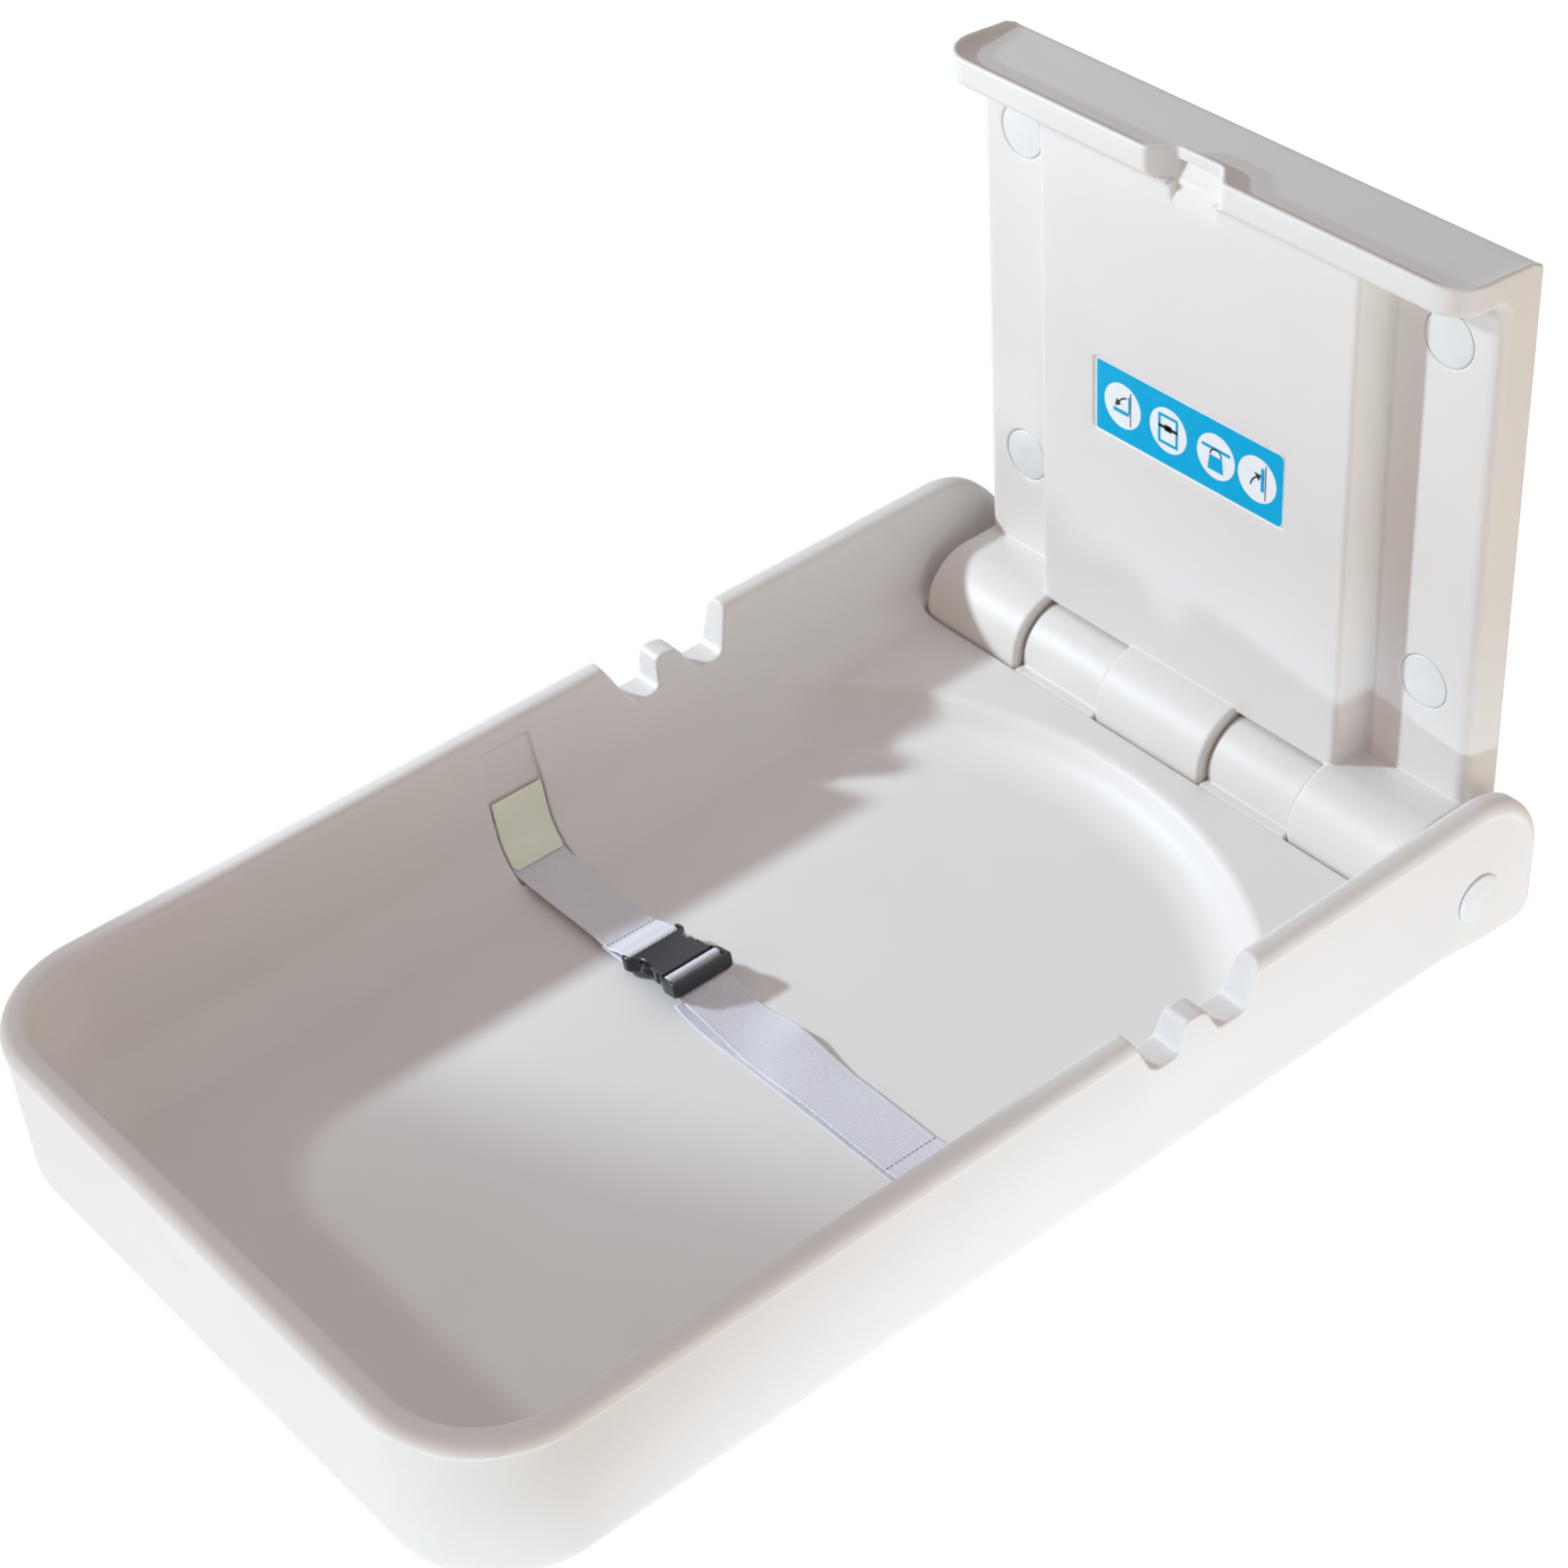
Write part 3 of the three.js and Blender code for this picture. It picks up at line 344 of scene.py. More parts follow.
def read_field(values, low, step, points):
    """Field values at points, between the grid's own."""
    spot = (points - low) / step
    cell = np.clip(np.floor(spot).astype(int), 0, np.array(values.shape) - 2)
    part = (spot - cell).astype(np.float32)
    total = np.zeros(len(points), np.float32)
    for i in (0, 1):
        for j in (0, 1):
            for k in (0, 1):
                weight = (
                    (part[:, 0] if i else 1 - part[:, 0])
                    * (part[:, 1] if j else 1 - part[:, 1])
                    * (part[:, 2] if k else 1 - part[:, 2])
                )
                total += weight * values[cell[:, 0] + i, cell[:, 1] + j, cell[:, 2] + k]
    return total


def slope_of(values, low, step, points):
    """Direction away from the surface at points."""
    slope = np.empty_like(points)
    for axis in range(3):
        shift = np.zeros(3)
        shift[axis] = step * 0.6
        ahead = read_field(values, low, step, points + shift)
        slope[:, axis] = ahead - read_field(values, low, step, points - shift)
    length = np.linalg.norm(slope, axis=1, keepdims=True)
    return slope / np.maximum(length, 1e-9)


def net(values):
    """Points, in grid units, and four-sided faces of the net over a field's surface."""
    inside = values < 0
    shape = np.array(values.shape) - 1
    count = np.zeros(shape, np.uint8)
    offsets = [(i, j, k) for i in (0, 1) for j in (0, 1) for k in (0, 1)]
    for i, j, k in offsets:
        count += inside[i:shape[0] + i, j:shape[1] + j, k:shape[2] + k]
    cells = np.argwhere((count > 0) & (count < 8))
    number = np.full(shape, -1, np.int32)
    number[tuple(cells.T)] = np.arange(len(cells))
    at = {o: values[tuple((cells + o).T)] for o in offsets}
    total, crossings = np.zeros((len(cells), 3)), np.zeros(len(cells))
    for first in offsets:
        for axis in range(3):
            if first[axis]:
                continue
            second = tuple(1 if n == axis else first[n] for n in range(3))
            a, b = at[first], at[second]
            cut = (a < 0) != (b < 0)
            share = np.where(cut, a / np.where(cut, a - b, 1), 0)
            spot = np.array(first)[None, :] + share[:, None] * np.eye(3)[axis][None, :]
            total += np.where(cut[:, None], spot, 0)
            crossings += cut
    points = cells + total / crossings[:, None]
    faces = []
    for axis in range(3):
        one, two = np.eye(3, dtype=int)[(axis + 1) % 3], np.eye(3, dtype=int)[(axis + 2) % 3]
        here = np.take(inside, range(inside.shape[axis] - 1), axis)
        there = np.take(inside, range(1, inside.shape[axis]), axis)
        edges = np.argwhere(here != there)
        out = here[tuple(edges.T)]
        around = [number[tuple((edges - a - b).T)] for a, b in ((one, two), (0, two), (0, 0), (one, 0))]
        ring = np.stack(around, axis=1)
        faces.append(np.where(out[:, None], ring, ring[:, ::-1]))
    return points, np.concatenate(faces)


def plain_mesh(name, points, faces):
    mesh = bpy.data.meshes.new(name)
    mesh.vertices.add(len(points))
    mesh.vertices.foreach_set("co", np.ascontiguousarray(points, np.float32).ravel())
    mesh.loops.add(faces.size)
    mesh.loops.foreach_set("vertex_index", np.ascontiguousarray(faces, np.int32).ravel())
    mesh.polygons.add(len(faces))
    mesh.polygons.foreach_set("loop_start", np.arange(0, faces.size, faces.shape[1], dtype=np.int32))
    mesh.update(calc_edges=True)
    return mesh


def finished(piece):
    """The piece with its modifiers made part of its mesh."""
    graph = bpy.context.evaluated_depsgraph_get()
    mesh = bpy.data.meshes.new_from_object(piece.evaluated_get(graph), depsgraph=graph)
    piece.modifiers.clear()
    piece.data = mesh
    mesh.name = piece.name
    return piece


MOST_TRIANGLES = 190000


def mould(name, field, low, high, step, most_triangles):
    """A smooth closed piece from a field, thinned where it is flat and shaded by the field's slope.

    The field is read on a grid of this step between the low and the high corner.
    """
    low = np.array(low, float)
    counts = np.ceil((np.array(high) - low) / step).astype(int) + 1
    x, y, z = (
        (low[n] + step * np.arange(counts[n])).astype(np.float32).reshape(
            [-1 if m == n else 1 for m in range(3)]
        )
        for n in range(3)
    )
    values = np.ascontiguousarray(np.broadcast_to(field(x, y, z), counts), dtype=np.float32)
    spots, faces = net(values)
    points = low + spots * step

    def seat(points):
        slope = slope_of(values, low, step, points)
        off = np.clip(read_field(values, low, step, points), -step / 2, step / 2)
        return points - slope * off[:, None]

    points = seat(points)
    piece = new_object(name, plain_mesh(name, points, faces))
    triangles = 2 * len(faces)
    if triangles > most_triangles:
        piece.modifiers.new("triangles", "TRIANGULATE")
        finished(piece)
        piece.modifiers.new("thin", "DECIMATE").ratio = most_triangles / triangles
        finished(piece)
    mesh = piece.data
    points = np.empty(len(mesh.vertices) * 3, np.float32)
    mesh.vertices.foreach_get("co", points)
    points = seat(points.reshape(-1, 3).astype(float))
    normals = slope_of(values, low, step, points)
    mesh.vertices.foreach_set("co", (points * MM + np.array(HINGE)).astype(np.float32).ravel())
    mesh.polygons.foreach_set("use_smooth", np.ones(len(mesh.polygons), bool))
    mesh.update()
    mesh.normals_split_custom_set_from_vertices(normals.tolist())
    return piece


# Tray: one moulding with rim, ears, bed, hinge barrels and bag hooks
(_, FRONT, UNDERSIDE), (HALF, _, RIM_TOP) = box_mm("tray_moulding")
TRAY_CORNER = 87.5
RIM_WIDTH = 21.0
LEAN_TOP = RIM_TOP - 6  # the wall gets wider from here down
BED = -36.0
SHELF = -6.0
BED_FILLET = 36.0
WALL_LEAN = math.radians(12)
FILLET_INSET = (
    RIM_WIDTH
    + (LEAN_TOP - BED - BED_FILLET) * math.tan(WALL_LEAN)
    + BED_FILLET / math.cos(WALL_LEAN)
)  # from the tray's outline to the middle of the fillet round the bed
EAR_END, EAR_TOP_ROUND, EAR_FOOT_ROUND = 63.0, 69.0, 22.0
RAMP_RUN, RAMP_RISE = 21.0, SHELF - BED
BED_HEAD_Y, BED_HEAD = -411.0, 343.0  # middle and radius of the round head of the bed
HINGE_SLOT_HALF, HINGE_SLOT_Y = 242.0, -43.0
BARREL_X, BARREL_HALF, BARREL_RADIUS = 97.0, 41.5, 35.0
WEB_Y, WEB_Z = -28.0, -22.0
ARM_HALF, ARM_Y, ARM_Z = 25.0, -5.0, -44.5
# Bores on the hinge axis for the rod's sleeves, bushes and nuts: radius, and start and end from the middle
BORES = ((11.4, -np.inf, 150.0), (12.4, 200.0, np.inf), (15.0, 270.0, np.inf))
CAP_SEAT_RADIUS, CAP_SEAT_X = 19.2, 280.6
STRAP_Y = middle_mm("strap_plate_left")[1]
GROOVE_HALF, GROOVE_TOP, GROOVE_FOOT_X = 23.9, 64.0, 222.5
COVER_INSET, COVER_FACE, COVER_END = 24.7, -47.6, -111.7
HOOK_Y, HOOK_X = -275.0, 236.0


def tray_plan(x, y):
    """Distance to the tray's outline seen from above."""
    across = np.abs(x) - (HALF - TRAY_CORNER)
    along = FRONT + TRAY_CORNER - y
    return corner(across - TRAY_CORNER, along - TRAY_CORNER, TRAY_CORNER)


def bed_space(plan, z):
    """Space inside the tray's walls, over the bed."""
    wall = (plan + RIM_WIDTH + (LEAN_TOP - z) * math.tan(WALL_LEAN)) * math.cos(WALL_LEAN)
    return corner(wall, BED - z, BED_FILLET)


def bag_hook(y, z):
    """Side view of the double groove with its tongue."""
    points = [
        (-64, 100), (-57, 78), (-42, 48), (-36.5, 43.2), (-33, 42), (-21, 42), (-17, 43), (-14.5, 46),
        (-13, 60), (-11.8, 64.5), (-8.5, 67), (-5, 67.2), (2, 66.4), (7, 64.6), (10.5, 61), (16.5, 49),
        (19.5, 44.5), (24, 42), (39, 42), (43, 43), (46, 46.5), (55, 76), (61, 100),
    ]
    return outline([(HOOK_Y + u, v) for u, v in points], y, z)


def tray_field(x, y, z):
    across = np.abs(x)
    plan = tray_plan(x, y)
    top = corner(z - RIM_TOP, y - EAR_END, EAR_TOP_ROUND)  # the rim runs on round the ears
    low = corner(UNDERSIDE - z, y - EAR_END, EAR_FOOT_ROUND)
    draft = 1.6 * np.clip((RIM_TOP - 10 - z) / 100, 0, 1.2)
    step = 1.4 * ease(-top, 8.6, 11.2) * ease(-y, -62, -30)  # the rim stands out a little over the wall
    foot_round = 20 - 11 * ease(y, -40, 30)
    body = corner(corner(plan + draft + step, top, 10), low, foot_round)
    # Shelf at the hinge, with the round head of the bed
    reach = radial(x, np.maximum(y - BED_HEAD_Y, 0))
    edge = BED_HEAD - RAMP_RUN + (z - BED) * RAMP_RUN / RAMP_RISE
    ramp = (edge - reach) * RAMP_RISE / math.hypot(RAMP_RUN, RAMP_RISE)
    shelf = corner(z - SHELF, ramp, 4)
    space = bed_space(plan, z)
    body = corner(body, fillet(-space, shelf, 18), 7)
    # Slot between the ears, barrels and the arms that meet the stops
    body = carve(body, corner(across - HINGE_SLOT_HALF, HINGE_SLOT_Y - y, 3), 2)
    radius = radial(y, z)
    inset = np.abs(across - BARREL_X)
    barrel = corner(radius - BARREL_RADIUS, inset - BARREL_HALF, 2.5)
    web = corner(corner(inset - BARREL_HALF, band(y, WEB_Y, 15), 1), band(z, WEB_Z, 16), 1)
    arm = corner(np.maximum(inset - ARM_HALF, band(z, ARM_Z, 6.5)), band(y, ARM_Y, 42.2), 1.5)
    body = np.minimum(np.minimum(np.minimum(body, web), barrel), arm)
    # Bores, and the seats of the round caps
    for bore, start, end in BORES:
        body = carve(body, np.maximum(radius - bore, np.maximum(start - across, across - end)), 0.8)
    body = carve(body, np.maximum(radius - CAP_SEAT_RADIUS, CAP_SEAT_X - across), 0.9)
    # Bag hooks in both walls
    body = carve(body, np.maximum(bag_hook(y, z), HOOK_X - across), 1.8)
    # Recess for the strap's plates, narrower and shallower towards its top
    groove = corner(band(y, STRAP_Y, GROOVE_HALF) + 2 * ease(z, 20, 60), z - GROOVE_TOP, 4)
    depth = 4.5 - 2.7 * ease(z, 26, 60)
    groove = np.maximum(groove, corner(space - depth, (GROOVE_FOOT_X - across) * 0.8, 3))
    body = carve(body, groove, 0.9)
    # Seat of the cover underneath
    seat = np.maximum(np.maximum(plan + COVER_INSET, z - COVER_FACE), y - COVER_END)
    return np.maximum(body, -seat)


tray = mould("tray", tray_field, (-288, -869, -56), (288, 69, 84), 1.6, MOST_TRIANGLES)
settle(tray, "moulding", "tray", "tray_moulding")


# Wall panel: strips, raised middle, flange with its lip and latch notch, and three barrels
(_, barrel_front, HINGE_BLOCK_FOOT), (PANEL_HALF, PANEL_BACK, _) = box_mm("wall_panel")
PANEL_FOOT, PANEL_TOP = 20.0, 456.0
STRIP_FRONT = 27.0
MIDDLE_HALF, MIDDLE_FRONT, MIDDLE_DRAFT = 148.0, -4.0, 3.0
CREASE_X, CREASE_Y = 152.5, 26.5  # along the foot of the raised middle
HINGE_BLOCK_FRONT = 43.5
PANEL_BARREL = -barrel_front
OUTER_BARREL_X, OUTER_BARREL_HALF, CENTRE_BARREL_HALF = 189.5, 49.5, 54.0
BARREL_ROOM, BARREL_ROOM_DEPTH, BARREL_ROOM_HALF = 38.5, 43.5, 43.0
ROD_BORE = 8.4
FLANGE_FRONT, FLANGE_LOW, FLANGE_TOP = -14.5, 442.0, 465.5
# A slant is the cosine of a sloping side's angle, which makes a distance measured level one to the side
NOTCH_HALF, NOTCH_BACK, NOTCH_SPREAD, NOTCH_SLANT = 20.0, 2.0, 0.909, 0.74
DISH_INSET, DISH_TO_NOTCH, DISH_FLOOR = 4.2, 4.5, 458.5
FINGER_HALF, FINGER_END, FINGER_RUN, FINGER_SLANT = 20.5, 424.0, 3.0, 0.95
LABEL_X, LABEL_Z, LABEL_FACE = -1.2, middle_mm("label_plate")[2], -2.5
LABEL_HALF, LABEL_HALF_HEIGHT = 92.3, 29.9
SCREW_X = middle_mm("screw_cap_2")[0]
SCREW_HEIGHTS = middle_mm("screw_cap_4")[2], middle_mm("screw_cap_2")[2]
SCREW_SEAT, SCREW_SEAT_Y, SCREW_HOLE, SCREW_BOSS = 20.8, 29.4, 4.3, 17.0
PANEL_WALL, HOLLOW_FRONT = 4.2, 30.0


def panel_field(x, y, z):
    across = np.abs(x)
    radius = radial(y, z)
    strip = corner(across - PANEL_HALF, STRIP_FRONT - y, 10)
    flare = (y - MIDDLE_FRONT) * MIDDLE_DRAFT / (STRIP_FRONT - MIDDLE_FRONT)
    middle = corner(across - MIDDLE_HALF - flare, MIDDLE_FRONT - y, 5)
    crease = radial(across - CREASE_X, y - CREASE_Y) - 2
    front = carve(fillet(strip, middle, 2), crease, 0.8)
    face = np.maximum(np.maximum(front, PANEL_FOOT - z), z - PANEL_TOP)
    # Barrels, flat on top behind the axis
    turn = np.where(y < 0, radius, np.abs(z)) - PANEL_BARREL
    outer = corner(turn, band(across, OUTER_BARREL_X, OUTER_BARREL_HALF), 3.5)
    centre = corner(turn, across - CENTRE_BARREL_HALF, 3.5)
    body = np.minimum(np.minimum(face, outer), centre)
    block = np.maximum(across - PANEL_HALF, HINGE_BLOCK_FRONT - y)
    block = np.maximum(block, np.maximum(z - PANEL_BARREL, HINGE_BLOCK_FOOT - z))
    body = np.minimum(body, block)
    # Room for the tray's barrels
    relief = np.where(z > 0, radius - BARREL_ROOM, np.abs(y) - BARREL_ROOM_DEPTH)
    body = carve(body, corner(relief, band(across, BARREL_X, BARREL_ROOM_HALF), 2), 0.8)
    # Flange
    plan = corner(across - PANEL_HALF, FLANGE_FRONT - y, 28)
    lip = FLANGE_TOP - 3.5 * ease(y, 10, 58) - 6 * ease(y, 50, PANEL_BACK)
    slab = corner(corner(plan, z - lip, 2.4), FLANGE_LOW - z, 8)
    body = np.maximum(fillet(body, slab, 9), across - PANEL_HALF)
    notch = (across - NOTCH_HALF - (NOTCH_BACK - y) * NOTCH_SPREAD) * NOTCH_SLANT
    notch = corner(notch, y - NOTCH_BACK, 1.5)
    dish = corner(corner(plan + DISH_INSET, DISH_TO_NOTCH - notch, 2), DISH_FLOOR - z, 1.5)
    body = carve(body, dish, 1.8)
    body = np.where(z > FLANGE_LOW - 0.1, carve(body, notch, 1.8), body)
    # Finger groove that runs out down the face
    slope = (y - MIDDLE_FRONT - (z - FINGER_END) / FINGER_RUN) * FINGER_SLANT
    groove = corner(across - FINGER_HALF, slope, 2)
    body = carve(body, np.maximum(groove, z - PANEL_TOP), 1)
    # Seats of the label and the screw caps
    label_edge = corner(band(x, LABEL_X, LABEL_HALF), band(z, LABEL_Z, LABEL_HALF_HEIGHT), 3)
    body = carve(body, corner(label_edge, y - LABEL_FACE, 0.2), 0.8)
    screws = [radial(across - SCREW_X, z - height) for height in SCREW_HEIGHTS]
    for spot in screws:
        body = carve(body, np.maximum(spot - SCREW_SEAT, y - SCREW_SEAT_Y), 1.0)
        body = np.maximum(body, -np.maximum(spot - SCREW_HOLE, -y))
    # Hollow from behind, with bosses round the screws
    hollow = np.maximum(body + PANEL_WALL, HOLLOW_FRONT - y)
    for spot in screws:
        hollow = np.maximum(hollow, SCREW_BOSS - spot)
    body = np.maximum(body, -hollow)
    body = np.maximum(body, -(radius - ROD_BORE))
    return np.maximum(body, y - PANEL_BACK)


panel = mould("panel", panel_field, (-246, -47, -60), (246, 66, 473), 1.5, MOST_TRIANGLES)
settle(panel, "moulding", "panel", "wall_panel")


# Smooth lines, ribbons and turned shapes
def smooth(rows, step):
    """Rows of a smooth line through the given rows, about a step apart in the first two columns."""
    rows = np.array(rows, float)
    rows = np.vstack([2 * rows[0] - rows[1], rows, 2 * rows[-1] - rows[-2]])
    line = []
    for a, b, c, d in zip(rows, rows[1:], rows[2:], rows[3:]):
        count = max(int(np.linalg.norm((c - b)[:2]) / step), 1)
        t = np.arange(count)[:, None] / count
        line.append(b + 0.5 * t * (c - a + t * (2 * a - 5 * b + 4 * c - d + t * (3 * b - a - 3 * c + d))))
    return np.vstack(line + [rows[-2:-1]])


def closed(mesh):
    """Fills the mesh's open ends and turns its faces outwards."""
    shape = bmesh.new()
    shape.from_mesh(mesh)
    open_edges = [edge for edge in shape.edges if edge.is_boundary]
    bmesh.ops.holes_fill(shape, edges=open_edges, sides=0)
    bmesh.ops.recalc_face_normals(shape, faces=shape.faces)
    shape.to_mesh(mesh)
    shape.free()
    return mesh


def webbing(name, rows):
    """Strap through rows of (x, z, rise of its far edge, shift along y), with thicker selvedges.

    Gives back the piece, and a function for the place, the upright and the direction across at
    (x, distance from the middle) on its top.
    """
    line = smooth(rows, 1.5)
    x, z, rise, shift = line.T
    run = np.gradient(line[:, :2], axis=0)
    run /= np.linalg.norm(run, axis=1, keepdims=True)
    upright = np.stack([-run[:, 1], run[:, 0]], axis=1)
    along = np.concatenate([[0], np.cumsum(np.hypot(np.diff(x), np.diff(z)))])
    top = [(STRAP_HALF, 0), (22.35, 0.5), (21.7, 0.85), (20.9, 0.8), (20.3, 0.66)]
    top += [(w, 0.75) for w in np.linspace(18, 0, 5)]
    top += [(-w, t) for w, t in reversed(top[:-1])]
    section = np.array(top + [(w, -t) for w, t in reversed(top[1:-1])])

    def place(at, w, t):
        """Points at stations, a distance from the middle and one above the mid-plane."""
        share = w / STRAP_HALF
        level = z[at] + rise[at] * share
        return np.stack([
            x[at] + upright[at, 0] * t,
            STRAP_Y + shift[at] + w + 0 * t,
            level + upright[at, 1] * t,
        ], axis=-1)

    stations = np.arange(len(line))[:, None]
    points = place(stations, section[None, :, 0], section[None, :, 1])
    size = len(section)
    ring = np.arange(size)
    step = np.roll(ring, -1)
    base = (np.arange(len(line) - 1) * size)[:, None]
    faces = np.stack([base + ring, base + step, base + size + step, base + size + ring], axis=-1)
    mesh = plain_mesh(name, points.reshape(-1, 3) * MM + np.array(HINGE), faces.reshape(-1, 4))
    where = np.stack(np.broadcast_arrays(section[None, :, 0], along[:, None]), axis=-1) * MM
    where = where.reshape(-1, 2)
    layer = mesh.uv_layers.new(name="along")
    layer.data.foreach_set("uv", where[faces.reshape(-1)].astype(np.float32).ravel())
    closed(mesh)
    mesh.polygons.foreach_set("use_smooth", np.ones(len(mesh.polygons), bool))
    piece = new_object(name, mesh)

    def on_top(at_x, w, lift=0.8):
        at = int(np.argmin(np.abs(x - at_x) + 1000 * (run[:, 0] < 0.2)))
        level = rise[at] / STRAP_HALF
        across = np.array([0, 1, level]) / math.hypot(1, level)
        spot = place(np.array(at), np.array(float(w)), np.array(lift))
        up = np.cross([run[at, 0], 0, run[at, 1]], across)
        return spot, up, across

    return piece, on_top


def turned(name, profile, sides):
    """Closed turned shape about Z from (radius, height, six-sided or not) rows in millimetres."""
    shape = bmesh.new()
    rings = []
    for radius, height, *six in profile:
        ring = []
        for k in range(sides if radius else 1):
            turn = math.tau * k / sides
            reach = radius * MM
            if six:
                reach /= math.cos((turn + math.pi / 6) % (math.pi / 3) - math.pi / 6)
            ring.append(shape.verts.new((reach * math.cos(turn), reach * math.sin(turn), height * MM)))
        rings.append(ring)
    for one, two in zip(rings, rings[1:]):
        for k in range(sides):
            after = k + 1
            corners = (one[k % len(one)], one[after % len(one)], two[after % len(two)], two[k % len(two)])
            shape.faces.new(list(dict.fromkeys(corners)))
    bmesh.ops.recalc_face_normals(shape, faces=shape.faces)
    mesh = bpy.data.meshes.new(name)
    shape.to_mesh(mesh)
    shape.free()
    mesh.polygons.foreach_set("use_smooth", np.ones(len(mesh.polygons), bool))
    mesh.set_sharp_from_angle(angle=math.radians(40))
    return new_object(name, mesh)


# Repeated small pieces: a copy of a unit on every point
def copies_tree():
    """Geometry Nodes tree that stands a unit on each point, upright and turned as the point says."""
    tree = bpy.data.node_groups.new("copies on points", "GeometryNodeTree")
    face = tree.interface
    face.new_socket("Geometry", in_out="OUTPUT", socket_type="NodeSocketGeometry")
    face.new_socket("Points", in_out="INPUT", socket_type="NodeSocketGeometry")
    face.new_socket("Unit", in_out="INPUT", socket_type="NodeSocketObject")
    face.new_socket("Size", in_out="INPUT", socket_type="NodeSocketFloat").default_value = 1.0
    face.new_socket("Finish", in_out="INPUT", socket_type="NodeSocketMaterial")

    given = add(tree, "NodeGroupInput")
    unit = add(tree, "GeometryNodeObjectInfo", {}, {"Object": (given, "Unit")})
    vector = {"data_type": "FLOAT_VECTOR"}
    upright = add(tree, "GeometryNodeInputNamedAttribute", vector, {"Name": "upright"})
    along = add(tree, "GeometryNodeInputNamedAttribute", vector, {"Name": "along"})
    turn = add(tree, "FunctionNodeAxesToRotation", {"primary_axis": "Z", "secondary_axis": "X"}, {
        "Primary Axis": (upright, "Attribute"), "Secondary Axis": (along, "Attribute"),
    })
    points = add(tree, "GeometryNodeMeshToPoints", {}, {"Mesh": (given, "Points")})
    copies = add(tree, "GeometryNodeInstanceOnPoints", {}, {
        "Points": (points, "Points"), "Instance": (unit, "Geometry"),
        "Rotation": (turn, "Rotation"), "Scale": (given, "Size"),
    })
    solid = add(tree, "GeometryNodeRealizeInstances", {}, {"Geometry": (copies, "Instances")})
    dressed = add(tree, "GeometryNodeSetMaterial", {}, {
        "Geometry": (solid, "Geometry"), "Material": (given, "Finish"),
    })
    add(tree, "NodeGroupOutput", {}, {"Geometry": (dressed, "Geometry")})
    return tree


COPIES = copies_tree()


def repeated(name, unit, spots, finish, size=1.0):
    """Copies of a unit at spots of (place in mm, upright, direction along), as one plain mesh."""
    mesh = bpy.data.meshes.new(name)
    mesh.from_pydata([tuple(np.array(spot) * MM + np.array(HINGE)) for spot, _, _ in spots], [], [])
    for word, column in (("upright", 1), ("along", 2)):
        values = mesh.attributes.new(word, "FLOAT_VECTOR", "POINT")
        values.data.foreach_set("vector", np.array([row[column] for row in spots], np.float32).ravel())
    piece = new_object(name, mesh)
    copies = piece.modifiers.new("copies", "NODES")
    copies.node_group = COPIES
    sockets = {item.name: item.identifier for item in COPIES.interface.items_tree if item.in_out == "INPUT"}
    for word, value in (("Unit", unit), ("Size", size), ("Finish", finish)):
        copies[sockets[word]] = value
    return finished(piece)


def drop(unit):
    bpy.data.objects.remove(unit)


# Round caps over the wall screws and the hinge rod, domed by half a millimetre
CAP_FOOT_Y = box_mm("screw_cap_1")[1][1]
PIVOT_CAP_X, PIVOT_CAP_SIZE = 280.95, 0.922
cap_unit = turned("cap_unit", [
    (0, 2.45), (8, 2.4), (14, 2.25), (18.4, 2.0), (19.6, 1.8), (20.2, 1.3), (20.35, 0.6), (20.2, 0), (0, 0),
], 64)
cap_spots = [
    ((side * SCREW_X, CAP_FOOT_Y, height), (0, -1, 0), (1, 0, 0))
    for side in (-1, 1) for height in SCREW_HEIGHTS
]
caps = repeated("screw_caps", cap_unit, cap_spots, FINISHES["cap"])
settle(caps, "cap", "panel", *(f"screw_cap_{n}" for n in range(1, 5)))
pivot_spots = [((side * PIVOT_CAP_X, 0, 0), (side, 0, 0), (0, 1, 0)) for side in (-1, 1)]
pivots = repeated("pivot_caps", cap_unit, pivot_spots, FINISHES["cap"], PIVOT_CAP_SIZE)
settle(pivots, "cap", "tray", "pivot_cap_left", "pivot_cap_right")
drop(cap_unit)

# Pan-head screws with a six-sided socket, in the underside cover
screw_unit = turned("screw_unit", [
    (0, 0.6), (1.5, 0.6, 6), (1.6, 2.25, 6), (2.1, 2.38), (3.3, 2.2), (4.1, 1.6), (4.45, 0.8), (4.4, 0),
    (2.0, 0), (2.0, -8.6), (0, -8.9),
], 24)
COVER_SCREWS = [f"cover_screw_{n}" for n in range(1, 9)]
COVER_SCREW_Z = UNDERSIDE - 0.3
screw_spots = [((*middle_mm(node)[:2], COVER_SCREW_Z), (0, 0, -1), (1, 0, 0)) for node in COVER_SCREWS]
screws = repeated("cover_screws", screw_unit, screw_spots, FINISHES["steel"])
settle(screws, "steel", "tray", *COVER_SCREWS)
drop(screw_unit)


